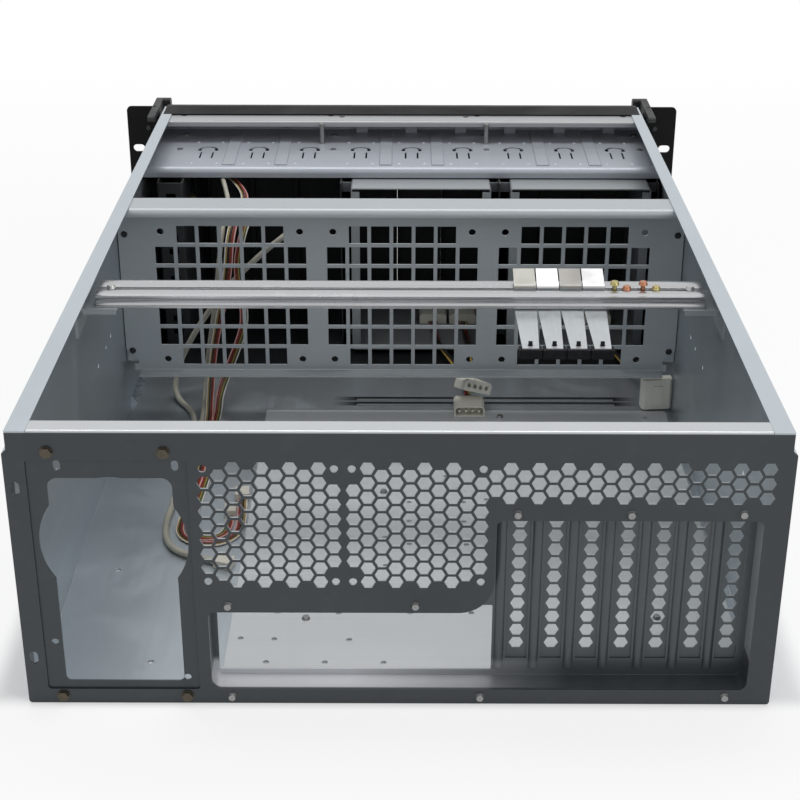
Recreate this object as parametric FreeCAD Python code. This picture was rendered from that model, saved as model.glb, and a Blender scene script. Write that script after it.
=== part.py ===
"""Empty 4U rack server case, top cover off, seen in a frame with the rear panel facing -Y.

Sizes are millimetres.  X runs to the right as the rear panel is looked at, Y runs from the rear
panel to the front bezel, Z runs up.  Lengths along Y are counted from the rear panel's outer face
and heights from the underside of the floor; every piece is moved by SHIFT_Y when it is written,
so that the origin lies under the middle of the whole case.
"""
import FreeCAD, Part
import math
import os

V = FreeCAD.Vector

# ---------------------------------------------------------------- driving dimensions
CASE_W = 430.0            # outside width of the folded body
CASE_H = 177.0            # four rack units less the usual clearance
FRONT_Y = 630.0           # rear face of the front panel
SHEET = 1.0               # body, shelf and bracket sheet
PANEL_T = 1.2             # rear panel, fan wall and supply plate sheet
BEND_R = 0.8              # inside bend radius of the sheet work
TOUCH = 0.1               # running gap between a sheet's end and the wall it is fitted between

# joggled upper side walls, which draw in towards the front
JOGGLE_Z = 163.0
JOGGLE_RISE = 2.5
INSET_REAR = 2.6
INSET_FRONT = 7.6
TOP_FLANGE_X_REAR = CASE_W / 2.0 - 14.0
TOP_FLANGE_X_FRONT = CASE_W / 2.0 - 16.4
TOP_FLANGE_END_Y = FRONT_Y - 23.5

# ribs pressed across the left floor bend, and long beads in the floor behind the fan wall
GUSSET_COUNT, GUSSET_Y, GUSSET_PITCH = 6, 397.0, 9.45
GUSSET_FOOT, GUSSET_RISE = 4.8, 6.4
FLOOR_BEAD_Y, FLOOR_BEAD_X = (397.0, 406.0), (-35.0, 170.0)
FLOOR_BEAD_R, FLOOR_BEAD_H = 6.0, 0.8

# rear panel
REAR_FLANGE = 12.5
HEX_AF = 7.4              # width across flats of the vent hexagons
HEX_PITCH_Z = 9.0
HEX_PITCH_X = HEX_PITCH_Z * math.cos(math.radians(30.0))
VENT_TOP_Z = 154.6
FAN80_X = (-71.2, 9.93)   # centres of the two rear 80 mm fan positions
FAN80_Z = 118.6
FAN80_HOLES = 71.5
FAN80_HOLE_R = 2.25
STRIP_COLUMNS = 20

# power supply opening and plate
PSU_X0, PSU_X1 = -203.0, -115.0
PSU_Z0, PSU_Z1 = 9.5, 159.3
PSU_MARGIN = 3.0
PSU_BLOWER_X, PSU_BLOWER_Z, PSU_BLOWER_R = -158.3, 107.0, 41.3
PSU_SCREWS = ((-190.5, 164.2), (-127.5, 164.1), (-194.8, 5.2), (-122.7, 5.2))

# recessed tray with the connector window and the seven card slots
TRAY_X0, TRAY_X1 = -108.2, 200.8
TRAY_Z0, TRAY_Z1, TRAY_Z_STEP = 9.8, 122.2, 62.2
TRAY_X_STEP = 53.4
TRAY_DEPTH = 15.5
IO_W, IO_H = 158.75, 44.45
IO_X0, IO_Z0 = -105.1, 13.3
SLOT_COUNT = 7
SLOT_PITCH = 20.32
SLOT_X0 = 68.0
SLOT_W = 12.0
SLOT_Z0, SLOT_Z1 = 21.2, 118.5
RIB_W, RIB_H = 5.8, 1.7
COVER_W = 18.4
COVER_T = 0.86
COVER_HEX_Z0 = 31.5
COVER_HEX_COUNT = 10
TRAY_SCREWS = ((-96.8, 66.6), (9.2, 67.0), (65.1, 126.4), (127.5, 126.4), (189.1, 126.8),
               (-96.8, 4.6), (46.8, 4.6), (188.7, 5.0))

# fan wall
WALL_Y = 387.0
WALL_Z0 = 34.0
WALL_FLANGE = 26.0
WALL_LIP = 6.2
WALL_FOOT = 11.8
FAN120_PITCH = 130.0
FAN120_X0 = 1.15
FAN120_Z = 96.7
FAN120_HOLES = 105.0
FAN120_HOLE_R = 2.6
GRILLE_N = 7
GRILLE_PITCH = 16.72
GRILLE_SQUARE = 13.9
WALL_SCREW_X, WALL_SCREW_Z = CASE_W / 2.0 - 6.4, (51.2, 147.0)

# card hold-down bar
BAR_HALF = CASE_W / 2.0 - 15.0
BAR_Y0, BAR_Y1 = 215.0, 244.0
BAR_Z0, BAR_Z1 = 159.2, 168.0
BAR_SLOT_Y, BAR_SLOT_W = 229.0, 3.4
BAR_SCREW_X = CASE_W / 2.0 - 23.5
ARM_COUNT = 4
ARM_X0, ARM_PITCH = 82.3, 15.2
ARM_W = 14.4
ARM_TIP_W = 10.4
ARM_T = 1.0
ARM_TIP_Y = 163.0
CLAMP_SCREWS = ((141.6, 3.2), (149.8, 0.0), (160.4, 3.2), (169.2, 0.0))

# drive bays
BAY_PITCH = 130.0
BAY_X0 = 16.0             # centre of the middle bay
BAY_REAR_Y = FRONT_Y - 125.0
SHELF_TOP_Z = 157.0
SHELF_REAR_Y = FRONT_Y - 111.0
SHELF_LIP = 8.5
SPRING_X0, SPRING_PITCH, SPRING_COUNT = 8.6, BAY_PITCH / 3.0 - 0.2, 9
CAGE_W = BAY_PITCH - 16.0
CAGE_REAR_Y, CAGE_FRONT_Y = FRONT_Y - 135.5, FRONT_Y - 4.0
CAGE_Z0 = 4.5

CAGE_Z1 = SHELF_TOP_Z - SHELF_LIP - 0.9

# front panel, bezel and handles
EAR_HALF = CASE_W / 2.0 + 26.3
PANEL_FRONT_T = 2.0
EAR_SLOT_X = CASE_W / 2.0 + 17.55
EAR_SLOT_Z = (37.7, 139.3)
WINDOW_W = BAY_PITCH - 12.0
WINDOW_Z0, WINDOW_Z1 = 9.0, SHELF_TOP_Z - 4.0
BEZEL_T = 6.6
BEZEL_HALF = CASE_W / 2.0 - 7.2
HANDLE_X0, HANDLE_X1 = CASE_W / 2.0 - 6.6, CASE_W / 2.0 - 0.4
HANDLE_GRIP_X = CASE_W / 2.0 - 13.0
HANDLE_FRONT_Y = FRONT_Y + 34.0
HANDLE_TAIL_Y = FRONT_Y - 33.0
BUTTON_X = -192.5
POWER_Z, RESET_Z = SHELF_TOP_Z - 17.0, SHELF_TOP_Z - 39.0
POWER_R, RESET_R = 6.0, 3.6
BUTTON_GAP = 0.3
BUTTON_TRAVEL = 2.0
LAMP_Z = (SHELF_TOP_Z - 61.0, SHELF_TOP_Z - 73.0, SHELF_TOP_Z - 85.0)
LAMP_R = 1.6

# bays, posts, cages and cable window
RIVET_INSET, RIVET_Y = 8.8, (FRONT_Y - 60.6, FRONT_Y - 18.0)
POST_X, POST_Y = (-68.0, 72.5), FRONT_Y - 43.0
EAR_Y = FRONT_Y - 115.0
CAGE_LEVELS = 5
CABLE_WINDOW_Y = (FRONT_Y - 72.0, FRONT_Y - 40.0)
CABLE_WINDOW_Z = (SHELF_TOP_Z - 60.0, SHELF_TOP_Z - 14.0)
HANDLE_SCREW_X, HANDLE_SCREW_Z = CASE_W / 2.0 + 8.0, (21.0, 158.0)
SWITCH_DEPTH = 12.0

# motherboard tray
BOARD_T = 1.0
BOARD_X, BOARD_Y = (-105.5, 208.5), (20.0, 383.0)
BOARD_HOLES = ((-97.8, 63.8), (-77, 63), (-30.9, 62.4), (-80.3, 38.5), (-44.9, 38.4), (-9.5, 38.2),
               (-77.1, 92.8), (-38.3, 92.3), (6.7, 92.5), (45.4, 92.7), (6.3, 235.3), (6.3, 208.4),
               (6.2, 177.4), (45, 235.5), (44.5, 207.9), (45.1, 176.8), (-10.2, 186.4), (-9.4, 149.9),
               (33.3, 273.9), (61.5, 239.4), (191.6, 370.5), (-5.2, 362.1), (32.9, 362.3))
BOARD_SCREWS = ((-58.7, 85.7), (-11.7, 249.5), (161.6, 87.4), (77.7, 371.3))
PAN_HEAD_R, PAN_HEAD_H = 2.7, 1.9

# cables: plugs and routes, as points (x, y, z)
PLUG_W, PLUG_D, PLUG_H = 23.6, 16.0, 9.0
# middle (x, y, z) and length of each plug, then its turns in degrees: nose up, about the upright, roll
POWER_PLUGS = (((53.8, 381.0, 6.65), 20.0, 0.0, 0.0, 0.0), ((57.2, 393.4, 16.0), 18.0, 22.0, 18.0, 0.0),
               ((201.2, 388.4, 15.6), 25.0, -90.0, 0.0, 5.0))
DRIVE_PLUG_X, DRIVE_PLUG_Y = (28.0, 54.0, 172.0), 548.0
FRONT_CABLE_D, LAMP_CABLE_D, USB_CABLE_D, AUDIO_CABLE_D, POWER_LEAD_D = 5.0, 5.0, 5.0, 4.0, 4.0
FRONT_CABLE = ((-192.5, 618, 128), (-192.5, 594, 128), (-176, 567, 131), (-150, 538, 137),
               (-130, 508, 142), (-124, 468, 147), (-127, 430, 150), (-131, 404, 139),
               (-133, 397, 112), (-139, 396, 82), (-146, 395, 52), (-149, 392, 27),
               (-149.5, 378, 10), (-149, 357, 4.1), (-148.4, 320, 3.8), (-146, 283, 3.8),
               (-148.5, 245, 3.8), (-151.5, 212, 3.8), (-151.5, 189, 3.8), (-139, 176.5, 3.8),
               (-122.5, 176.5, 3.8), (-110.2, 189, 3.8), (-109.8, 212, 3.8), (-112, 238, 3.8))
LAMP_CABLE = ((-192.5, 618, 118), (-192.5, 594, 118), (-176, 567, 119), (-150, 540, 122),
              (-126, 512, 132), (-117, 492, 142), (-114, 474, 148.5), (-117, 440, 149), (-121, 419, 142),
              (-127, 411, 118), (-126, 408, 98), (-122.5, 407, 79), (-123, 405, 64),
              (-129, 402, 47), (-136, 398, 30), (-142, 391, 15), (-143.6, 376, 6),
              (-143.4, 357, 3.8), (-142.8, 320, 3.8), (-140.5, 283, 3.8), (-142.5, 245, 3.8),
              (-145, 212, 3.8), (-145, 194, 3.8), (-136, 184.5, 3.8), (-126.5, 184.5, 3.8),
              (-117.5, 194, 3.8), (-118.5, 214, 3.8))
USB_CABLE = ((-192.5, 618, 108), (-192.5, 594, 108), (-176, 566, 109), (-150, 542, 111),
             (-120, 524, 118), (-96, 502, 134), (-82, 484, 146), (-76, 462, 148.5), (-80, 438, 149),
             (-89, 419, 142), (-106, 419, 122), (-130, 418, 99), (-150, 416, 75), (-167, 413, 49),
             (-178, 414, 25),
             (-181, 408, 10), (-176, 396, 3.9), (-166, 382, 3.8), (-159.3, 362, 3.8),
             (-158.5, 330, 3.8), (-160, 296, 3.8), (-161, 262, 3.8), (-160, 228, 3.8),
             (-162, 200, 3.8), (-157, 172, 3.8), (-141, 158, 3.8), (-122, 152, 3.8))
AUDIO_CABLE = ((-192.5, 618, 138), (-192.5, 594, 138), (-178, 568, 138.5), (-158, 536, 141),
               (-143, 500, 145), (-137, 462, 148), (-137, 432, 147), (-138.5, 414, 134),
               (-142, 406, 106), (-145, 404, 80), (-150, 402, 54), (-153.5, 400, 26),
               (-154.8, 388, 10), (-154.2, 366, 4), (-153.9, 340, 3.3), (-153.4, 312, 3.3))
POWER_LEADS = (((53.8, 391.5, 6.7), (53.0, 410, 6.2), (50, 432, 4.6), (43, 460, 8.0), (34, 490, 9.0),
                (29, 520, 8.0), (28, 548, 7.9)),
               ((54.3, 402.5, 12.4), (53.0, 415, 10.4), (57, 436, 6.4), (60, 466, 8.6), (57, 498, 9.0),
                (54.5, 524, 8.0), (54, 548, 7.9)),
               ((200.0, 388.6, 28.6), (198.6, 394.5, 42), (198.8, 404, 46), (198.2, 418, 38),
                (192, 432, 21), (186, 450, 9), (181, 474, 8.6), (176, 500, 9.0), (172.5, 525, 8.0),
                (172, 548, 7.9)))

SCREW_HEAD = 2.2
SHIFT_Y = -(HANDLE_FRONT_Y - SCREW_HEAD) / 2.0


# ---------------------------------------------------------------- shape helpers
def box(x0, x1, y0, y1, z0, z1):
    return Part.makeBox(x1 - x0, y1 - y0, z1 - z0, V(x0, y0, z0))


def rod_x(y, z, r, x0, x1):
    return Part.makeCylinder(r, x1 - x0, V(x0, y, z), V(1, 0, 0))


def rod_y(x, z, r, y0, y1):
    return Part.makeCylinder(r, y1 - y0, V(x, y0, z), V(0, 1, 0))


def rod_z(x, y, r, z0, z1):
    return Part.makeCylinder(r, z1 - z0, V(x, y, z0), V(0, 0, 1))


def in_xz(y):
    return lambda a, b: V(a, y, b)


def in_yz(x):
    return lambda a, b: V(x, a, b)


def in_xy(z):
    return lambda a, b: V(a, b, z)


def rounded_face(corners, place):
    """Face of a closed outline whose corners (u, v, radius) are rounded by tangent arcs."""
    n = len(corners)
    starts, mids, ends = [], [], []
    for i in range(n):
        u, v, r = corners[i]
        pu, pv, _ = corners[i - 1]
        nu, nv, _ = corners[(i + 1) % n]
        la = math.hypot(pu - u, pv - v)
        lb = math.hypot(nu - u, nv - v)
        ax, ay = (pu - u) / la, (pv - v) / la
        bx, by = (nu - u) / lb, (nv - v) / lb
        half = math.acos(max(-1.0, min(1.0, ax * bx + ay * by))) / 2.0
        if r <= 0.0 or half > math.radians(89.9):
            starts.append((u, v))
            mids.append(None)
            ends.append((u, v))
            continue
        t = r / math.tan(half)
        d = r / math.sin(half)
        mx, my = ax + bx, ay + by
        lm = math.hypot(mx, my)
        starts.append((u + ax * t, v + ay * t))
        mids.append((u + mx / lm * (d - r), v + my / lm * (d - r)))
        ends.append((u + bx * t, v + by * t))
    edges = []
    for i in range(n):
        if mids[i] is not None:
            edges.append(Part.Arc(place(*starts[i]), place(*mids[i]), place(*ends[i])).toShape())
        a = place(*ends[i])
        b = place(*starts[(i + 1) % n])
        if a.distanceToPoint(b) > 1e-6:
            edges.append(Part.LineSegment(a, b).toShape())
    return Part.Face(Part.Wire(edges))


def offset_corners(corners, d):
    """Corners of a counter-clockwise outline moved outwards by d, with concentric rounding."""
    n = len(corners)
    out = []
    for i in range(n):
        u, v, r = corners[i]
        pu, pv, _ = corners[i - 1]
        nu, nv, _ = corners[(i + 1) % n]
        la = math.hypot(u - pu, v - pv)
        lb = math.hypot(nu - u, nv - v)
        ax, ay = (u - pu) / la, (v - pv) / la
        bx, by = (nu - u) / lb, (nv - v) / lb
        turn = ax * by - ay * bx
        k = d / (1.0 + ax * bx + ay * by)
        radius = max(0.0, r + d) if turn > 0 else max(0.0, r - d)
        out.append((u + (ay + by) * k, v - (ax + bx) * k, radius if r > 0 else 0.0))
    return out


def folded_face(path, thickness, place, bend=BEND_R, radii=None):
    """Section of a folded sheet: path is one face, the metal lies to the left of it.

    radii gives a larger inside radius for chosen corners of the path.
    """
    n = len(path)
    dirs = []
    for i in range(n - 1):
        du, dv = path[i + 1][0] - path[i][0], path[i + 1][1] - path[i][1]
        length = math.hypot(du, dv)
        dirs.append((du / length, dv / length))
    first, second = [], []
    for i in range(n):
        a = dirs[max(i - 1, 0)]
        b = dirs[min(i, n - 2)]
        k = thickness / (1.0 + a[0] * b[0] + a[1] * b[1])
        turn = a[0] * b[1] - a[1] * b[0]
        inner = (radii or {}).get(i, bend)
        near = far = 0.0
        if turn > 1e-6:
            near, far = inner + thickness, inner
        elif turn < -1e-6:
            near, far = inner, inner + thickness
        first.append((path[i][0], path[i][1], near))
        second.append((path[i][0] - (a[1] + b[1]) * k, path[i][1] + (a[0] + b[0]) * k, far))
    return rounded_face(first + second[::-1], place)


def along(face, x=0.0, y=0.0, z=0.0):
    return face.extrude(V(x, y, z))


def fuse(shapes):
    shape = shapes[0].multiFuse(shapes[1:]) if len(shapes) > 1 else shapes[0]
    return shape.removeSplitter()


def cut(shape, tools):
    return shape.cut(Part.makeCompound(tools)) if tools else shape


def mirrored(shape):
    return shape.mirror(V(0, 0, 0), V(1, 0, 0))


def hexagon_y(x, z, across_flats, y0, y1):
    """Hexagonal prism along Y with a flat at its top."""
    r = across_flats / 2.0 / math.cos(math.radians(30.0))
    points = [V(x + r * math.cos(math.radians(60 * k)), y0, z + r * math.sin(math.radians(60 * k)))
              for k in range(7)]
    return Part.Face(Part.makePolygon(points)).extrude(V(0, y1 - y0, 0))


def slot_y(x, z, half_len, r, y0, y1):
    """Upright round-ended slot through a panel that faces along Y."""
    corners = [(x - r, z - half_len, r * 0.999), (x + r, z - half_len, r * 0.999),
               (x + r, z + half_len, r * 0.999), (x - r, z + half_len, r * 0.999)]
    return along(rounded_face(corners, in_xz(y0)), y=y1 - y0)


def pan_screw(x, y, z, head_r, head_h, shank_r, length, axis):
    """Screw whose head stands on the seat (x, y, z); axis points from the seat into the metal."""
    back = V(-axis.x, -axis.y, -axis.z)
    seat = V(x, y, z)
    head = Part.makeCone(head_r, head_r * 0.72, head_h, seat, back)
    shank = Part.makeCylinder(shank_r, length, seat, axis)
    return fuse([head, shank])


def inset_at(y):
    return INSET_REAR + (INSET_FRONT - INSET_REAR) * y / FRONT_Y


def save(name, shape):
    shape = shape.copy()
    shape.translate(V(0, SHIFT_Y, 0))
    shape.exportStep("parts/" + name + ".step")
    print(name, "solids", len(shape.Solids), "valid", shape.isValid(),
          "volume", round(shape.Volume / 1000.0, 2))


# ---------------------------------------------------------------- body
def side_section(y, inset, flange_x):
    """Joggled upper part of the right-hand side wall, as a closed section at the depth y."""
    out = CASE_W / 2.0
    top = CASE_H
    z_in = JOGGLE_Z + JOGGLE_RISE
    points = [(out, JOGGLE_Z), (out - inset, z_in), (out - inset, top), (flange_x, top),
              (flange_x, top - SHEET), (out - inset - SHEET, top - SHEET),
              (out - inset - SHEET, z_in), (out - SHEET, JOGGLE_Z), (out, JOGGLE_Z)]
    return Part.makePolygon([V(x, y, z) for x, z in points])


def make_chassis_base():
    half = CASE_W / 2.0
    path = [(half, JOGGLE_Z), (half, 0.0), (-half, 0.0), (-half, JOGGLE_Z)]
    channel = along(folded_face(path[::-1], SHEET, in_xz(PANEL_T)), y=FRONT_Y - PANEL_T)
    upper = Part.makeLoft([side_section(0.0, INSET_REAR, TOP_FLANGE_X_REAR),
                           side_section(FRONT_Y, INSET_FRONT, TOP_FLANGE_X_FRONT)], True, True)
    upper = upper.cut(box(100, half + 1, -1, PANEL_T, 150, CASE_H - SHEET))
    clear = half - INSET_FRONT - SHEET - 0.4
    upper = upper.cut(box(100, clear, TOP_FLANGE_END_Y, FRONT_Y + 1, CASE_H - 2, CASE_H + 1))
    inner = half - SHEET
    ribs = []
    for k in range(GUSSET_COUNT):
        wedge = [(-inner - 0.2, SHEET - 0.2, 0), (-inner + GUSSET_FOOT, SHEET - 0.2, 0),
                 (-inner - 0.2, SHEET + GUSSET_RISE, 0)]
        ribs.append(along(rounded_face(wedge, in_xz(GUSSET_Y + GUSSET_PITCH * k)), y=3.0))
    for y in FLOOR_BEAD_Y:
        bead = rod_x(y, SHEET - FLOOR_BEAD_R + FLOOR_BEAD_H, FLOOR_BEAD_R, *FLOOR_BEAD_X)
        ribs.append(bead.common(box(-inner, inner, y - 20, y + 20, SHEET - 0.2, 10)))
    body = fuse([channel, upper, mirrored(upper)] + ribs)
    holes = []
    for y in (276.6, 309.5, 330.3):
        holes.append(rod_x(y, CASE_H / 2.0, 1.7, -half - 1, half + 1))
    for y in (60.0, 120.0, 470.0, 570.0):
        holes.append(rod_x(y, CASE_H / 2.0, 2.1, -half - 1, half + 1))
    for x, y in ((-186.0, 145.0), (-150.0, 40.0)):
        holes.append(rod_z(x, y, 2.0, -1, 2))
    holes += [rod_z(x, y, 1.6, -1, 2) for x, y in BOARD_SCREWS]
    return cut(body, holes)


# ---------------------------------------------------------------- rear panel
def vent_cells():
    """Centres of the hexagonal vent holes: two fan grilles and the strip above the slots."""
    cells = []
    for centre, first_even in ((FAN80_X[0], True), (FAN80_X[1], False)):
        for k in range(10):
            x = centre + (k - 4.5) * HEX_PITCH_X
            even = (k % 2 == 0) == first_even
            outer = k in (0, 9)
            if even:
                rows = range(1, 8) if outer else range(0, 9)
                cells += [(x, VENT_TOP_Z - HEX_PITCH_Z * row) for row in rows]
            else:
                rows = range(1, 7) if outer else range(0, 8)
                cells += [(x, VENT_TOP_Z - HEX_PITCH_Z * (row + 0.5)) for row in rows]
    for k in range(10, 10 + STRIP_COLUMNS):
        x = FAN80_X[1] + (k - 4.5) * HEX_PITCH_X
        if k % 2:
            cells += [(x, VENT_TOP_Z - HEX_PITCH_Z * row) for row in range(3)]
        else:
            cells += [(x, VENT_TOP_Z - HEX_PITCH_Z * (row + 0.5)) for row in range(2)]
    return cells


def tray_outline():
    return [(TRAY_X0, TRAY_Z0, 6.0), (TRAY_X1, TRAY_Z0, 5.0), (TRAY_X1, TRAY_Z1, 4.0),
            (TRAY_X_STEP, TRAY_Z1, 4.5), (TRAY_X_STEP, TRAY_Z_STEP, 20.0),
            (TRAY_X0, TRAY_Z_STEP, 4.0)]


def make_rear_panel():
    half = CASE_W / 2.0
    inner = half - INSET_REAR
    outline = [(-half, 0, 2.0), (half, 0, 2.0), (half, JOGGLE_Z, 0), (inner, JOGGLE_Z + JOGGLE_RISE, 0),
               (inner, CASE_H - SHEET, 0), (-inner, CASE_H - SHEET, 0),
               (-inner, JOGGLE_Z + JOGGLE_RISE, 0), (-half, JOGGLE_Z, 0)]
    plate = along(rounded_face(outline, in_xz(0.0)), y=PANEL_T)
    top_half = TOP_FLANGE_X_REAR - 0.1
    path = [(REAR_FLANGE, CASE_H), (0.0, CASE_H), (0.0, CASE_H - 8.0)]
    top = along(folded_face(path, PANEL_T, in_yz(-top_half)), x=2 * top_half)
    plate = plate.cut(box(-top_half, top_half, -1, 3, CASE_H - 8.0, CASE_H + 1))
    foot_half = half - SHEET - 2.0
    foot = box(-foot_half, foot_half, PANEL_T, REAR_FLANGE, SHEET, SHEET + PANEL_T)
    side = box(half - SHEET - PANEL_T, half - SHEET, PANEL_T, REAR_FLANGE, 4.0, JOGGLE_Z - 3.0)
    panel = fuse([plate, top, foot, side, mirrored(side)])
    y0, y1 = -1.0, PANEL_T + 1.0
    holes = [hexagon_y(x, z, HEX_AF, y0, y1) for x, z in vent_cells()]
    for cx in FAN80_X:
        for sx in (-1, 1):
            for sz in (-1, 1):
                holes.append(rod_y(cx + sx * FAN80_HOLES / 2, FAN80_Z + sz * FAN80_HOLES / 2,
                                   FAN80_HOLE_R, y0, y1))
    psu = [(PSU_X0, PSU_Z0, 2.0), (PSU_X1, PSU_Z0, 2.0), (PSU_X1, PSU_Z1, 2.0), (PSU_X0, PSU_Z1, 2.0)]
    holes.append(along(rounded_face(psu, in_xz(y0)), y=y1 - y0))
    holes.append(along(rounded_face(tray_outline(), in_xz(y0)), y=y1 - y0))
    for z in (31.1, 141.7):
        holes.append(slot_y(-209.5, z, 4.1, 2.4, y0, y1))
    for x, z in PSU_SCREWS + TRAY_SCREWS:
        holes.append(rod_y(x, z, 1.7, y0, y1))
    return cut(panel, holes)


def make_psu_plate():
    m = PSU_MARGIN
    outline = [(PSU_X0 - m, 2.4, 0), (PSU_X1 + m, 2.4, 0), (PSU_X1 + m, 168.5, 0), (PSU_X0 - m, 168.5, 0)]
    y0, y1 = PANEL_T, 2 * PANEL_T
    plate = along(rounded_face(outline, in_xz(y0)), y=PANEL_T)
    window = along(rounded_face([(-192.3, 14.7, 3.0), (-124.0, 14.7, 3.0), (-124.0, 147.7, 6.0),
                                 (-192.3, 147.7, 6.0)], in_xz(y0 - 1)), y=PANEL_T + 2)
    holes = [window, rod_y(PSU_BLOWER_X, PSU_BLOWER_Z, PSU_BLOWER_R, y0 - 1, y1 + 1)]
    for x in (-186.0, -121.95):
        holes.append(slot_y(x, 155.3, 3.3, 2.0, y0 - 1, y1 + 1))
    for x, z in ((-122.0, 17.3), (-196.5, 41.3)):
        holes.append(rod_y(x, z, 2.1, y0 - 1, y1 + 1))
    for x, z in PSU_SCREWS:
        holes.append(rod_y(x, z, 1.7, y0 - 1, y1 + 1))
    return cut(plate, holes)


def make_psu_plate_screws():
    screws = []
    for x, z in PSU_SCREWS:
        head = hexagon_y(x, z, 5.6, -SCREW_HEAD, -0.7)
        washer = rod_y(x, z, 3.6, -0.7, 0.0)
        shank = rod_y(x, z, 1.5, 0.0, 6.0)
        screws.append(fuse([head, washer, shank]))
    return Part.makeCompound(screws)


def make_io_slot_panel():
    """Drawn tray: a flange behind the rear panel, walls inwards and the recessed connector plane."""
    y_flange, y_plane = PANEL_T, TRAY_DEPTH
    outline = tray_outline()
    outer = offset_corners(outline, SHEET)
    flange = [(-110.9, 2.4, 0), (206.0, 2.4, 0), (206.0, 131.0, 3.0), (50.4, 131.0, 3.0),
              (50.4, 71.0, 0), (-110.9, 71.0, 3.0)]
    body = fuse([along(rounded_face(flange, in_xz(y_flange)), y=SHEET),
                 along(rounded_face(outer, in_xz(y_flange)), y=y_plane + SHEET - y_flange)])
    hollow = along(rounded_face(outline, in_xz(y_flange - 1)), y=y_plane - y_flange + 1)
    body = body.cut(hollow)
    ribs = []
    for k in range(SLOT_COUNT):
        x = SLOT_X0 - SLOT_PITCH / 2.0 + SLOT_PITCH * k
        r = (RIB_W ** 2 / 4.0 + RIB_H ** 2) / (2.0 * RIB_H)
        bead = rod_z(x, y_plane - RIB_H + r, r, 15.0, TRAY_Z1 - 1.5)
        ribs.append(bead.common(box(x - RIB_W, x + RIB_W, y_plane - 5, y_plane + 0.1, 0, CASE_H)))
    body = fuse([body] + ribs)
    holes = [along(rounded_face([(IO_X0, IO_Z0, 0.8), (IO_X0 + IO_W, IO_Z0, 0.8),
                                 (IO_X0 + IO_W, IO_Z0 + IO_H, 0.8), (IO_X0, IO_Z0 + IO_H, 0.8)],
                                in_xz(y_plane - 1)), y=SHEET + 2)]
    for k in range(SLOT_COUNT):
        x = SLOT_X0 + SLOT_PITCH * k
        holes.append(box(x - SLOT_W / 2, x + SLOT_W / 2, y_plane - 3, y_plane + 3, SLOT_Z0, SLOT_Z1))
        holes.append(rod_z(x, 10.5, 1.5, TRAY_Z1 - 2, TRAY_Z1 + 3))
    for x, z in TRAY_SCREWS:
        holes.append(rod_y(x, z, 1.7, y_flange - 1, y_flange + 3))
    return cut(body, holes)


def make_pan_screws():
    """Bright pan-head screws of the tray flange, the motherboard tray and the slot covers."""
    screws = [pan_screw(x, 0.0, z, PAN_HEAD_R, PAN_HEAD_H, 1.5, 5.0, V(0, 1, 0)) for x, z in TRAY_SCREWS]
    top = SHEET + BOARD_T
    screws += [pan_screw(x, y, top, PAN_HEAD_R, PAN_HEAD_H, 1.5, top - 0.1, V(0, 0, -1))
               for x, y in BOARD_SCREWS]
    z = TRAY_Z1 + SHEET + COVER_T
    screws += [pan_screw(SLOT_X0 + SLOT_PITCH * k, 10.5, z, 3.0, 2.0, 1.4, 5.0, V(0, 0, -1))
               for k in range(SLOT_COUNT)]
    return Part.makeCompound(screws)


def make_slot_cover(k):
    """Vented expansion-slot cover whose top tab lies on the tray's upper wall."""
    x = SLOT_X0 + SLOT_PITCH * k
    y0 = TRAY_DEPTH + SHEET
    top = TRAY_Z1 + SHEET
    path = [(y0, 12.0), (y0, top), (4.6, top)]
    section = folded_face(path[::-1], COVER_T, in_yz(x - COVER_W / 2), bend=0.0)
    cover = along(section, x=COVER_W)
    tongue = 2.6
    holes = [box(x - COVER_W, x - COVER_W / 2 + tongue, y0 - 1, y0 + 3, 0, 18.0),
             box(x + COVER_W / 2 - tongue, x + COVER_W, y0 - 1, y0 + 3, 0, 18.0)]
    for row in range(COVER_HEX_COUNT):
        holes.append(hexagon_y(x, COVER_HEX_Z0 + HEX_PITCH_Z * row, HEX_AF, y0 - 2, y0 + 3))
    holes.append(rod_z(x, 10.5, 2.0, top - 1, top + 3))
    holes.append(box(x - 2.0, x + 2.0, 0.0, 10.5, top - 0.5, top + 3))
    return cut(cover, holes)


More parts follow.
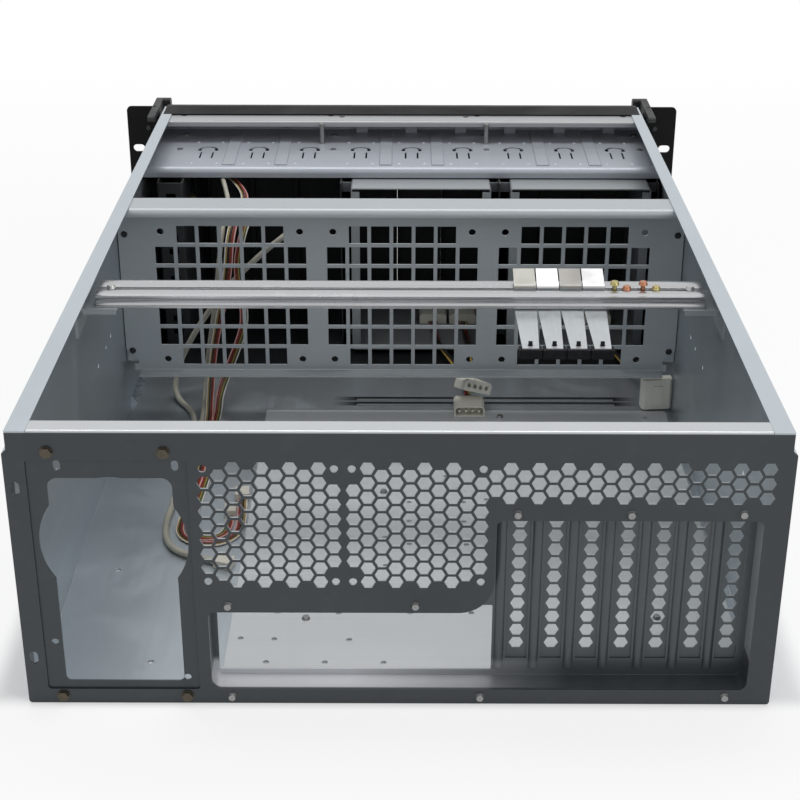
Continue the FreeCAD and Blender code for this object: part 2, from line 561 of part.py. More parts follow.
# ---------------------------------------------------------------- fan wall
def make_fan_wall():
    top = CASE_H - SHEET
    half_top = CASE_W / 2.0 - inset_at(WALL_Y) - SHEET - 0.8
    half = CASE_W / 2.0 - SHEET - 0.6
    back = WALL_Y + PANEL_T
    path = [(WALL_Y - WALL_FLANGE, top - WALL_LIP), (WALL_Y - WALL_FLANGE, top), (back, top),
            (back, WALL_Z0), (back - PANEL_T - WALL_FOOT, WALL_Z0)]
    wall = along(folded_face(path[::-1], PANEL_T, in_yz(-half_top), radii={3: 3.6}), x=2 * half_top)
    chamfer = 9.0
    wing = [(-half, 44.0, 0), (half, 44.0, 0), (half, JOGGLE_Z - 3.0, 0), (-half, JOGGLE_Z - 3.0, 0)]
    wall = fuse([wall, along(rounded_face(wing, in_xz(WALL_Y)), y=PANEL_T)])
    y0, y1 = WALL_Y - 1, back + 1
    holes = []
    for side in (-1, 1):
        corner = [(side * (half + 1), 40.0, 0), (side * (half + 1), 44.0 + chamfer, 0),
                  (side * (half - chamfer), 43.9, 0), (side * (half - chamfer), 40.0, 0)]
        if side > 0:
            corner = corner[::-1]
        holes.append(along(rounded_face(corner, in_xz(y0)), y=y1 - y0))
        holes.append(box(min(side * 203.0, side * 220.0), max(side * 203.0, side * 220.0),
                         360.0, WALL_Y - 0.01, 30.0, 43.9))
        for z in WALL_SCREW_Z:
            holes.append(rod_y(side * WALL_SCREW_X, z, 1.8, y0, y1))
    for j in (-1, 0, 1):
        cx = FAN120_X0 + FAN120_PITCH * j
        for a in range(GRILLE_N):
            for b in range(GRILLE_N):
                if a in (0, GRILLE_N - 1) and b in (0, GRILLE_N - 1):
                    continue
                x = cx + (a - GRILLE_N // 2) * GRILLE_PITCH
                z = FAN120_Z + (b - GRILLE_N // 2) * GRILLE_PITCH
                h = GRILLE_SQUARE / 2.0
                holes.append(box(x - h, x + h, y0, y1, z - h, z + h))
        for sx in (-1, 1):
            for sz in (-1, 1):
                holes.append(rod_y(cx + sx * FAN120_HOLES / 2, FAN120_Z + sz * FAN120_HOLES / 2,
                                   FAN120_HOLE_R, y0, y1))
    return cut(wall, holes)


def make_fan_wall_brackets():
    """Upright angles that tie the fan wall's edges to the side walls."""
    wall = CASE_W / 2.0 - SHEET
    back = WALL_Y + PANEL_T
    path = [(wall, back + 15.0), (wall, back), (wall - 14.0, back)]
    bracket = along(folded_face(path[::-1], PANEL_T, in_xy(42.0)), z=JOGGLE_Z - 5.0 - 42.0)
    holes = [rod_y(WALL_SCREW_X, z, 1.6, back - 1, back + 3) for z in WALL_SCREW_Z]
    bracket = cut(bracket, holes)
    return Part.makeCompound([bracket, mirrored(bracket)])


def make_dark_screws():
    """Dark pan-head screws of the fan wall and of the handles."""
    screws = [pan_screw(side * WALL_SCREW_X, WALL_Y, z, 2.6, 1.2, 1.5, 5.0, V(0, 1, 0))
              for side in (-1, 1) for z in WALL_SCREW_Z]
    screws += [pan_screw(side * HANDLE_SCREW_X, FRONT_Y, z, 2.6, 1.8, 1.5, 4.0, V(0, 1, 0))
               for side in (-1, 1) for z in HANDLE_SCREW_Z]
    return Part.makeCompound(screws)


# ---------------------------------------------------------------- card hold-down
def make_holddown_bar():
    """Aluminium extrusion: two crowned ridges along a slot, skirts with a turned-out lip."""
    t = 2.2
    mid = BAR_SLOT_Y
    crown = 0.9
    rear, front = BAR_Y0, BAR_Y1
    edges = []

    def line(a, b):
        edges.append(Part.LineSegment(V(-BAR_HALF, *a), V(-BAR_HALF, *b)).toShape())

    def arc(a, m, b):
        edges.append(Part.Arc(V(-BAR_HALF, *a), V(-BAR_HALF, *m), V(-BAR_HALF, *b)).toShape())

    top = BAR_Z1 - crown
    low = BAR_Z0
    line((rear - 1.4, low), (rear - 1.4, low + 1.4))
    line((rear - 1.4, low + 1.4), (rear, low + 1.4))
    arc((rear, low + 1.4), (rear + 1.1, low + 3.9), (rear, low + 6.3))
    line((rear, low + 6.3), (rear, top))
    line((rear, top), (rear + 1.6, top))
    arc((rear + 1.6, top), ((rear + mid) / 2, BAR_Z1), (mid - 2.2, top))
    line((mid - 2.2, top), (mid - 2.2, top - 0.8))
    line((mid - 2.2, top - 0.8), (mid + 2.2, top - 0.8))
    line((mid + 2.2, top - 0.8), (mid + 2.2, top))
    arc((mid + 2.2, top), ((front + mid) / 2, BAR_Z1), (front - 0.4, top))
    line((front - 0.4, top), (front, top - 0.6))
    line((front, top - 0.6), (front, low))
    line((front, low), (front - t, low))
    line((front - t, low), (front - t, top - t))
    line((front - t, top - t), (rear + t + 1.0, top - t))
    line((rear + t + 1.0, top - t), (rear + t + 1.0, low))
    line((rear + t + 1.0, low), (rear - 1.4, low))
    bar = along(Part.Face(Part.Wire(edges)), x=2 * BAR_HALF)
    half = BAR_SCREW_X + 3.0
    slot = [(-half, mid - BAR_SLOT_W / 2, BAR_SLOT_W * 0.49), (half, mid - BAR_SLOT_W / 2, BAR_SLOT_W * 0.49),
            (half, mid + BAR_SLOT_W / 2, BAR_SLOT_W * 0.49), (-half, mid + BAR_SLOT_W / 2, BAR_SLOT_W * 0.49)]
    return bar.cut(along(rounded_face(slot, in_xy(low - 1)), z=BAR_Z1 - low + 2))


def make_bar_bracket(side):
    """Angle bracket: a leg on the side wall and a shelf with a turned-down rim under the bar."""
    wall = CASE_W / 2.0 - SHEET
    top = BAR_Z0
    path = [(wall, 138.0), (wall, top), (BAR_SCREW_X - 6.0, top)]
    y0, y1 = BAR_Y0 - 3.0, BAR_Y1 + 3.0
    bracket = along(folded_face(path, PANEL_T, in_xz(y0)), y=y1 - y0)
    rim_line = [(y0 + 6.0, top), (y0, top), (y0, top - 4.0)]
    rim = along(folded_face(rim_line, PANEL_T, in_yz(BAR_SCREW_X - 5.0)), x=22.0)
    bracket = fuse([bracket, rim])
    bracket = cut(bracket, [rod_z(BAR_SCREW_X, BAR_SLOT_Y, 1.6, top - 5, top + 2)])
    return bracket if side > 0 else mirrored(bracket)


def make_holddown_arm(k):
    """Folded strip: thumb tab above the bar, neck through the slot, tapered arm to the rear."""
    x = ARM_X0 + ARM_PITCH * k
    under = BAR_Z0 - 0.3
    neck = BAR_SLOT_Y - ARM_T / 2.0
    path = [(246.0, 175.2), (neck, BAR_Z1 + 1.6), (neck, under), (BAR_Y0, under - 0.4), (ARM_TIP_Y, 153.6)]
    section = folded_face(path, ARM_T, in_yz(x - ARM_W / 2), bend=0.6)
    strip = along(section, x=ARM_W)
    side_cut = (ARM_W - ARM_TIP_W) / 2.0
    tools = []
    for s in (-1, 1):
        edge, tip = x + s * ARM_W / 2, ARM_TIP_Y - 2
        wedge = [(edge, BAR_Y0 - 4, 0), (edge + s, BAR_Y0 - 4, 0), (edge + s, tip, 0),
                 (edge - s * side_cut, tip, 0)]
        if s > 0:
            wedge = wedge[::-1]
        tools.append(along(rounded_face(wedge, in_xy(140.0)), z=40.0))
    tools.append(box(x - 1.6, x + 1.6, ARM_TIP_Y + 3.0, ARM_TIP_Y + 5.0, 140, 160))
    return cut(strip, tools)


def make_holddown_pad(k):
    """Rubber foot under the arm's end, with a barbed tongue up through the arm's slot."""
    x = ARM_X0 + ARM_PITCH * k
    top = 152.4
    pad = along(rounded_face([(x - 7.2, ARM_TIP_Y - 1.0, 0.8), (x + 7.2, ARM_TIP_Y - 1.0, 0.8),
                              (x + 7.2, ARM_TIP_Y + 7.0, 0.8), (x - 7.2, ARM_TIP_Y + 7.0, 0.8)],
                             in_xy(top - 6.0)), z=6.0)
    tongue = box(x - 1.3, x + 1.3, ARM_TIP_Y + 3.3, ARM_TIP_Y + 4.7, top - 0.5, top + 4.2)
    return fuse([pad, tongue])


def make_bar_screws():
    """The bar's two end screws and the four clamp screws standing in its slot."""
    seat = BAR_Z1 - 0.6
    screws = []
    for x, lift in ((-BAR_SCREW_X, 0.0), (BAR_SCREW_X, 0.0)) + CLAMP_SCREWS:
        depth = 11.0 if abs(x) > BAR_SCREW_X - 1.0 else 6.0
        screws.append(pan_screw(x, BAR_SLOT_Y, seat + lift, 3.1, 2.2, 1.5, depth, V(0, 0, -1)))
    return Part.makeCompound(screws)


# ---------------------------------------------------------------- drive bays
def bay_centre(j):
    return BAY_X0 + BAY_PITCH * j


def shelf_section():
    t = PANEL_T
    front = FRONT_Y - TOUCH
    z = SHELF_TOP_Z
    outer = [(SHELF_REAR_Y, z - SHELF_LIP, 0), (SHELF_REAR_Y + t, z - SHELF_LIP, 0),
             (SHELF_REAR_Y + t, z - t, 4.0), (front, z - t, 2.0), (front, z + 4.5, 0),
             (front - t, z + 4.5, 0), (front - t, z, 0.8), (SHELF_REAR_Y, z, 5.2)]
    return outer


def make_drive_shelf():
    half = CASE_W / 2.0 - SHEET - TOUCH
    shelf = along(rounded_face(shelf_section(), in_yz(-half)), x=2 * half)
    z = SHELF_TOP_Z
    beads = []
    for j in range(3):
        for s in (-1, 1):
            x = SPRING_X0 + BAY_PITCH * (j - 1) + s * SPRING_PITCH / 2.0
            bead = [(x - 5.6, z - 0.1, 0), (x + 5.6, z - 0.1, 0), (x + 4.8, z + 0.8, 0),
                    (x - 4.8, z + 0.8, 0)]
            beads.append(along(rounded_face(bead, in_xz(SHELF_REAR_Y + 7.0)), y=96.0))
    tabs, dimples = [], []
    for k in range(SPRING_COUNT):
        x = SPRING_X0 + SPRING_PITCH * (k - 4)
        for y in (FRONT_Y - 98.0, FRONT_Y - 40.5):
            for s in (-1, 1):
                if (k, s) != (2, 1):
                    dimples.append(Part.makeCone(1.9, 1.0, 0.6, V(x + s * 10.5, y, z - 0.05), V(0, 0, 1)))
        if k >= 3:
            tabs.append(box(x - 5.0, x + 5.0, FRONT_Y - 10.2, FRONT_Y - 9.2, z - 0.5, z + 5.0))
    shelf = fuse([shelf] + beads + tabs + dimples)
    holes = [rod_z(divider_x(i) - RIVET_INSET, y, 1.5, z - 3, z + 3)
             for i in range(4) for y in RIVET_Y]
    ring_y = FRONT_Y - 61.5
    for k in range(SPRING_COUNT):
        x = SPRING_X0 + SPRING_PITCH * (k - 4)
        ring = rod_z(x, ring_y, 8.6, z - 3, z + 3).cut(rod_z(x, ring_y, 5.8, z - 4, z + 4))
        ring = ring.cut(box(x - 10, x + 10, ring_y - 18, ring_y - 3, z - 4, z + 4))
        holes.append(ring)
        for s in (-1, 1):
            holes.append(box(x + s * 5.0 - 0.7, x + s * 5.0 + 0.7, ring_y - 23.5, ring_y - 6.5, z - 3, z + 3))
        if k >= 3:
            holes.append(box(x - 5.0, x + 5.0, FRONT_Y - 12.4, FRONT_Y - 10.2, z - 3, z + 3))
    return cut(shelf, holes)


def make_shelf_posts():
    return Part.makeCompound([rod_z(x, POST_Y, 2.0, SHELF_TOP_Z, CASE_H - 2.5) for x in POST_X])


def make_shelf_rivets():
    rivets = []
    z = SHELF_TOP_Z
    for index in range(4):
        x = divider_x(index) - RIVET_INSET
        for y in RIVET_Y:
            rivets.append(rod_z(x, y, 2.4, z, z + 0.7).fuse(rod_z(x, y, 1.4, z - 2.2, z)))
    return Part.makeCompound(rivets)


def make_front_crossmember():
    half = CASE_W / 2.0 - INSET_FRONT - SHEET - 0.5
    top = CASE_H - PANEL_T
    rear = FRONT_Y - 40.8
    path = [(rear, top - 4.7), (rear, top), (FRONT_Y - TOUCH, top)]
    beam = along(folded_face(path[::-1], SHEET, in_yz(-half)), x=2 * half)
    holes = [rod_z(x, y, 2.6, top - 3, top + 2) for x, y in
             ((-187.8, rear + 17.8), (-61.1, rear + 18.3), (-51.4, rear + 14.8), (55.5, rear + 15.3),
              (65.4, rear + 18.3), (191.4, rear + 17.2))]
    return cut(beam, holes)


def divider_x(index):
    """Left to right: the channel's leg, then the three plain dividers."""
    return BAY_X0 + BAY_PITCH * (index - 1.5)


def shelf_lip_room(x):
    """Room at the top rear corner of a bay wall for the shelf's rolled rear edge."""
    return box(x - 30.0, x + 5.0, BAY_REAR_Y - 1, SHELF_REAR_Y + 5.8, SHELF_TOP_Z - SHELF_LIP - 0.3, CASE_H)


def make_bay_channel():
    """Slotted channel beside the empty bay, with a window that the front cables pass through."""
    x = divider_x(0)
    top = SHELF_TOP_Z - PANEL_T
    path = [(x, FRONT_Y - 0.4), (x, BAY_REAR_Y), (x - 21.0, BAY_REAR_Y), (x - 21.0, BAY_REAR_Y + 14.0)]
    channel = along(folded_face(path[::-1], SHEET, in_xy(SHEET)), z=top - SHEET).cut(shelf_lip_room(x))
    lug = box(x - 14.0, x - 0.5, FRONT_Y - 70.0, FRONT_Y - 10.0, top - SHEET, top)
    holes = [box(x - 14.0, x - 6.0, BAY_REAR_Y - 2, BAY_REAR_Y + 3, z, z + 5.0)
             for z in range(14, int(top) - 10, 12)]
    window = [(CABLE_WINDOW_Y[0], CABLE_WINDOW_Z[0], 4.0), (CABLE_WINDOW_Y[1], CABLE_WINDOW_Z[0], 4.0),
              (CABLE_WINDOW_Y[1], CABLE_WINDOW_Z[1], 4.0), (CABLE_WINDOW_Y[0], CABLE_WINDOW_Z[1], 4.0)]
    holes.append(along(rounded_face(window, in_yz(x - 3)), x=6.0))
    holes += [rod_z(x - RIVET_INSET, y, 1.5, top - 3, top + 1) for y in RIVET_Y]
    return cut(fuse([channel, lug]), holes)


def make_bay_divider(index):
    """Upright wall between bays, its top flange riveted to the shelf and its foot on the floor."""
    x = divider_x(index)
    top = SHELF_TOP_Z - PANEL_T
    toe = 13.0
    path = [(x - toe, SHEET), (x, SHEET), (x, top), (x - toe, top)]
    wall = along(folded_face(path, SHEET, in_xz(BAY_REAR_Y)), y=FRONT_Y - 0.4 - BAY_REAR_Y)
    holes = [rod_z(x - RIVET_INSET, y, 1.5, top - 3, top + 1) for y in RIVET_Y]
    holes.append(shelf_lip_room(x))
    for z in (SHELF_TOP_Z - 107.0, SHELF_TOP_Z - 52.0):
        for y in (FRONT_Y - 95.0, FRONT_Y - 55.0):
            holes.append(rod_x(y, z, 9.0, x - 3, x + 3))
    return cut(wall, holes)


def make_drive_cage(j):
    """Rectangular 3.5-inch cage with rear returns and ears that reach the bay dividers."""
    cx = bay_centre(j)
    h = CAGE_W / 2.0
    t = SHEET
    outer = [(cx - h, CAGE_Z0, 2.0), (cx + h, CAGE_Z0, 2.0), (cx + h, CAGE_Z1, 2.0), (cx - h, CAGE_Z1, 2.0)]
    depth = CAGE_FRONT_Y - CAGE_REAR_Y
    tube = along(rounded_face(outer, in_xz(CAGE_REAR_Y)), y=depth)
    inner = offset_corners(outer, -t)
    tube = tube.cut(along(rounded_face(inner, in_xz(CAGE_REAR_Y - 1)), y=depth + 2))
    parts = [tube]
    for s in (-1, 1):
        a, b = cx + s * (h - 0.5), cx + s * (h - 7.0)
        parts.append(box(min(a, b), max(a, b), CAGE_REAR_Y, CAGE_REAR_Y + t, CAGE_Z0 + 3, CAGE_Z1 - 3))
        edge = divider_x(j + 1) if s < 0 else divider_x(j + 2) - SHEET
        for z in (10.0, CAGE_Z1 - 9.6):
            a, b = cx + s * (h - 0.5), edge
            parts.append(box(min(a, b), max(a, b), EAR_Y, EAR_Y + t, z, z + 8.0))
            a, b = edge, edge - s * t
            parts.append(box(min(a, b), max(a, b), EAR_Y, EAR_Y + 10.0, z, z + 8.0))
    cage = fuse(parts)
    holes = []
    for level in range(CAGE_LEVELS):
        z = CAGE_Z0 + 16.0 + (CAGE_Z1 - CAGE_Z0 - 30.0) / (CAGE_LEVELS - 1) * level
        for y in (FRONT_Y - 95.0, FRONT_Y - 53.0, FRONT_Y - 25.0):
            holes.append(rod_x(y, z, 1.8, cx - h - 2, cx + h + 2))
    return cut(cage, holes)


# ---------------------------------------------------------------- front
def bay_windows(y0, y1, grow=0.0):
    windows = []
    for j in (-1, 0, 1):
        cx = bay_centre(j)
        a = WINDOW_W / 2.0 + grow
        windows.append(box(cx - a, cx + a, y0, y1, WINDOW_Z0 - grow, WINDOW_Z1 + grow))
    return windows


def control_holes(y0, y1):
    holes = [rod_y(BUTTON_X, POWER_Z, POWER_R + BUTTON_GAP, y0, y1),
             rod_y(BUTTON_X, RESET_Z, RESET_R + BUTTON_GAP, y0, y1)]
    holes += [rod_y(BUTTON_X, z, LAMP_R + 0.15, y0, y1) for z in LAMP_Z]
    return holes


def make_front_panel():
    y0, y1 = FRONT_Y, FRONT_Y + PANEL_FRONT_T
    e, n0, n1, nz = EAR_HALF, HANDLE_X0 - 0.1, HANDLE_X1 + 0.4, JOGGLE_Z + JOGGLE_RISE + 0.5
    outline = [(-e, 0, 4.0), (e, 0, 4.0), (e, CASE_H, 4.0), (n1, CASE_H, 0), (n1, nz, 0), (n0, nz, 0),
               (n0, CASE_H, 0), (-n0, CASE_H, 0), (-n0, nz, 0), (-n1, nz, 0), (-n1, CASE_H, 0),
               (-e, CASE_H, 4.0)]
    plate = along(rounded_face(outline, in_xz(y0)), y=PANEL_FRONT_T)
    top_half = CASE_W / 2.0 - INSET_FRONT - SHEET - 0.6
    top = box(-top_half, top_half, TOP_FLANGE_END_Y + 0.5, y0 + 0.5, CASE_H - PANEL_T, CASE_H)
    foot_half = CASE_W / 2.0 - SHEET - 1.5
    foot = box(-foot_half, foot_half, y0 - 0.4 - 20.0, y0 + 0.5, SHEET, SHEET + PANEL_T)
    notches = [box(divider_x(i) - 15.0, divider_x(i) + 1.0, y0 - 30, y0 - 0.01, 0, 5) for i in range(4)]
    notches.append(box(divider_x(0) - 23.0, divider_x(0) + 1.0, y0 - 30, y0 - 0.01, 0, 5))
    panel = fuse([plate, top, cut(foot, notches)])
    holes = bay_windows(y0 - 1, y1 + 1) + control_holes(y0 - 1, y1 + 1)
    for side in (-1, 1):
        for z in EAR_SLOT_Z:
            x = side * EAR_SLOT_X
            slot = [(x - 5.15, z - 3.35, 3.34), (x + 5.15, z - 3.35, 3.34),
                    (x + 5.15, z + 3.35, 3.34), (x - 5.15, z + 3.35, 3.34)]
            holes.append(along(rounded_face(slot, in_xz(y0 - 1)), y=PANEL_FRONT_T + 2))
        for z in HANDLE_SCREW_Z:
            holes.append(rod_y(side * HANDLE_SCREW_X, z, 1.6, y0 - 1, y1 + 1))
    return cut(panel, holes)


def make_bezel_frame():
    y0 = FRONT_Y + PANEL_FRONT_T
    outline = [(-BEZEL_HALF, 0.6, 3.0), (BEZEL_HALF, 0.6, 3.0), (BEZEL_HALF, CASE_H - 0.6, 3.0),
               (-BEZEL_HALF, CASE_H - 0.6, 3.0)]
    frame = along(rounded_face(outline, in_xz(y0)), y=BEZEL_T)
    return cut(frame, bay_windows(y0 - 1, y0 + BEZEL_T + 1) + control_holes(y0 - 1, y0 + BEZEL_T + 1))


def make_bay_covers():
    """Nine moulded covers, hollow from behind, each with a shallow finger pocket near its top."""
    covers = []
    width = WINDOW_W / 3.0 - 0.25
    y0, y1 = FRONT_Y - 2.5, FRONT_Y + PANEL_FRONT_T + BEZEL_T - 1.0
    z0, z1 = WINDOW_Z0 + 0.2, WINDOW_Z1 - 0.2
    for j in (-1, 0, 1):
        for k in (-1, 0, 1):
            cx = bay_centre(j) + k * WINDOW_W / 3.0
            h = width / 2.0
            outer = [(cx - h, z0, 1.0), (cx + h, z0, 1.0), (cx + h, z1, 1.0), (cx - h, z1, 1.0)]
            cover = along(rounded_face(outer, in_xz(y0)), y=y1 - y0)
            hollow = offset_corners(outer, -1.6)
            cover = cover.cut(along(rounded_face(hollow, in_xz(y0 - 1)), y=y1 - 1.6 - y0 + 1))
            grip = box(cx - 9.0, cx + 9.0, y1 - 0.7, y1 + 1, z1 - 12.0, z1 - 7.0)
            covers.append(cover.cut(grip))
    return Part.makeCompound(covers)


def make_button(z, r):
    y0 = FRONT_Y + PANEL_FRONT_T + 0.3
    y1 = FRONT_Y + PANEL_FRONT_T + BEZEL_T + BUTTON_TRAVEL
    body = rod_y(BUTTON_X, z, r, y0, y1)
    dish = Part.makeSphere(r * 3.0, V(BUTTON_X, y1 + r * 3.0 - 0.5, z))
    return body.cut(dish)


def make_indicator_lenses():
    y1 = FRONT_Y + PANEL_FRONT_T + BEZEL_T
    lenses = []
    for z in LAMP_Z:
        dome = Part.makeSphere(LAMP_R, V(BUTTON_X, y1 - 0.6, z))
        lenses.append(rod_y(BUTTON_X, z, LAMP_R, FRONT_Y + 0.1, y1 - 0.6).fuse(dome).removeSplitter())
    return Part.makeCompound(lenses)


def make_switch_block():
    y0 = FRONT_Y - SWITCH_DEPTH
    low, high = LAMP_Z[-1] - 10.0, POWER_Z + 10.0
    outline = [(BUTTON_X - 8.0, low, 1.5), (BUTTON_X + 8.0, low, 1.5), (BUTTON_X + 8.0, high, 1.5),
               (BUTTON_X - 8.0, high, 1.5)]
    block = along(rounded_face(outline, in_xz(y0)), y=SWITCH_DEPTH)
    return cut(block, [rod_y(BUTTON_X, z, r + 1.5, FRONT_Y - 1.0, FRONT_Y + 1)
                       for z, r in ((POWER_Z, POWER_R), (RESET_Z, RESET_R))])


def make_handle(side):
    """Angular grip with a thin tail that lies beside the top of the side wall, and two ear pads."""
    y0, y1 = FRONT_Y + PANEL_FRONT_T, HANDLE_FRONT_Y
    low = 13.0
    tail_z = CASE_H - 4.6
    under = JOGGLE_Z + JOGGLE_RISE + 0.5
    profile = [(HANDLE_TAIL_Y, tail_z, 2.0), (y0 + 1.0, tail_z, 0), (y0 + 1.0, under, 0),
               (y0 + 8.0, under, 3.0), (y1 - 10.0, under - 12.0, 6.0),
               (y1 - 10.0, low + 24.0, 6.0), (y0 + 6.0, low + 11.0, 3.0), (y0, low + 11.0, 0),
               (y0, low, 0), (y0 + 9.0, low, 5.0), (y1, low + 17.0, 12.0), (y1, CASE_H, 6.0),
               (HANDLE_TAIL_Y, CASE_H, 2.0)]
    grip = along(rounded_face(profile, in_yz(HANDLE_X0)), x=HANDLE_X1 - HANDLE_X0)
    bar = [(y1 - 10.0, low + 22.0, 4.0), (y1, low + 17.0, 3.0), (y1, CASE_H, 6.0), (y1 - 10.0, CASE_H, 2.0)]
    bar = along(rounded_face(bar, in_yz(HANDLE_GRIP_X)), x=HANDLE_X0 - HANDLE_GRIP_X + 0.5)
    pads = [box(HANDLE_X0, CASE_W / 2.0 + 13.0, y0, y0 + 4.0, z - 8.0, z + 8.0) for z in HANDLE_SCREW_Z]
    handle = fuse([grip, bar] + pads)
    handle = cut(handle, [rod_y(HANDLE_SCREW_X, z, 1.6, y0 - 1, y0 + 2.5) for z in HANDLE_SCREW_Z])
    return handle if side > 0 else mirrored(handle)


# ---------------------------------------------------------------- floor of the board bay
def make_motherboard_tray():
    x0, x1, y0, y1 = BOARD_X[0], BOARD_X[1], BOARD_Y[0], BOARD_Y[1]
    outline = [(x0, y0, 3.0), (x1, y0, 3.0), (x1, y1, 3.0), (x0, y1, 3.0)]
    tray = along(rounded_face(outline, in_xy(SHEET)), z=BOARD_T)
    holes = [rod_z(x, y, 1.8, 0, 4) for x, y in BOARD_HOLES]
    holes += [rod_z(x, y, 1.6, 0, 4) for x, y in BOARD_SCREWS]
    return cut(tray, holes)


# ---------------------------------------------------------------- cables
def power_plug(middle, length, nose_up=0.0, yaw=0.0, roll=0.0, pins=False, lug=1.1):
    """White four-way plug. Its nose faces the rear: four sockets, or a hollow with four pins in it."""
    w, d, h = PLUG_W / 2.0, length / 2.0, PLUG_H / 2.0
    outline = [(-w, -h, 0), (w, -h, 0), (w, h - 2.0, 0), (w - 2.0, h, 0), (-w + 2.0, h, 0), (-w, h - 2.0, 0)]
    body = along(rounded_face(outline, in_xz(-d)), y=2 * d)
    ways = [(k - 1.5) * 5.08 for k in range(4)]
    if pins:
        hollow = along(rounded_face(offset_corners(outline, -1.1), in_xz(-d - 1.0)), y=9.0)
        body = fuse([body.cut(hollow)] + [rod_y(x, 0.0, 1.05, -d + 1.0, -d + 9.0) for x in ways])
    else:
        body = cut(body, [rod_y(x, 0.0, 1.7, -d - 1.0, -d + 7.0) for x in ways])
    body = fuse([body, box(-4.0, 4.0, -d + 3.0, d - 5.0, h - 0.1, h + lug)]) if not pins else body
    body.rotate(V(0, 0, 0), V(0, 1, 0), roll)
    body.rotate(V(0, 0, 0), V(1, 0, 0), -nose_up)
    body.rotate(V(0, 0, 0), V(0, 0, 1), yaw)
    body.translate(V(*middle))
    return body


def cord_tube(name, points, diameter):
    """Round tube along straight runs that are joined by tangent arcs; prints the arc radii."""
    pts = [V(*p) for p in points]
    edges, radii, length = [], [], 0.0
    last = pts[0]
    for i in range(1, len(pts) - 1):
        a = pts[i - 1].sub(pts[i])
        b = pts[i + 1].sub(pts[i])
        la, lb = a.Length, b.Length
        a.normalize()
        b.normalize()
        turn = math.pi - a.getAngle(b)
        reach = 0.45 * min(la, lb)
        radius = reach / math.tan(turn / 2.0)
        start, end = pts[i] + a * reach, pts[i] + b * reach
        middle = a + b
        middle.normalize()
        mid = pts[i] + middle * (radius / math.cos(turn / 2.0) - radius)
        edges.append(Part.LineSegment(last, start).toShape())
        edges.append(Part.Arc(start, mid, end).toShape())
        length += last.distanceToPoint(start) + radius * turn
        radii.append(round(radius, 1))
        last = end
    edges.append(Part.LineSegment(last, pts[-1]).toShape())
    length += last.distanceToPoint(pts[-1])
    path = Part.Wire(edges)
    heading = pts[1].sub(pts[0])
    ring = Part.Wire([Part.makeCircle(diameter / 2.0, pts[0], heading)])
    tube = path.makePipeShell([ring], True, False)
    ratio = tube.Volume / (math.pi * diameter ** 2 / 4.0 * length)
    print(name, "length", round(length, 1), "least radius", min(radii), "radii", radii,
          "volume ratio", round(ratio, 4))
    return tube


def make_drive_plugs():
    """Far plugs of the three power leads, lying on the cage floors with their noses to the front."""
    z = CAGE_Z0 + SHEET + 0.15 + PLUG_H / 2.0
    return Part.makeCompound([power_plug((x, DRIVE_PLUG_Y + PLUG_D / 2.0, z), PLUG_D, 0.0, 180.0, lug=0.3)
                              for x in DRIVE_PLUG_X])


def make_header_plugs():
    """Small black housings on the loose ends of the four front cables."""
    plugs = []
    for route, width in ((FRONT_CABLE, 10.0), (LAMP_CABLE, 8.0), (USB_CABLE, 10.0), (AUDIO_CABLE, 5.6)):
        end, before = V(*route[-1]), V(*route[-2])
        way = end.sub(before)
        angle = math.degrees(math.atan2(way.y, way.x))
        body = Part.makeBox(12.0, width, 5.4, V(0, -width / 2.0, -2.7))
        body.rotate(V(0, 0, 0), V(0, 0, 1), angle)
        body.translate(V(end.x, end.y, SHEET + 0.15 + 2.7))
        plugs.append(body)
    return Part.makeCompound(plugs)


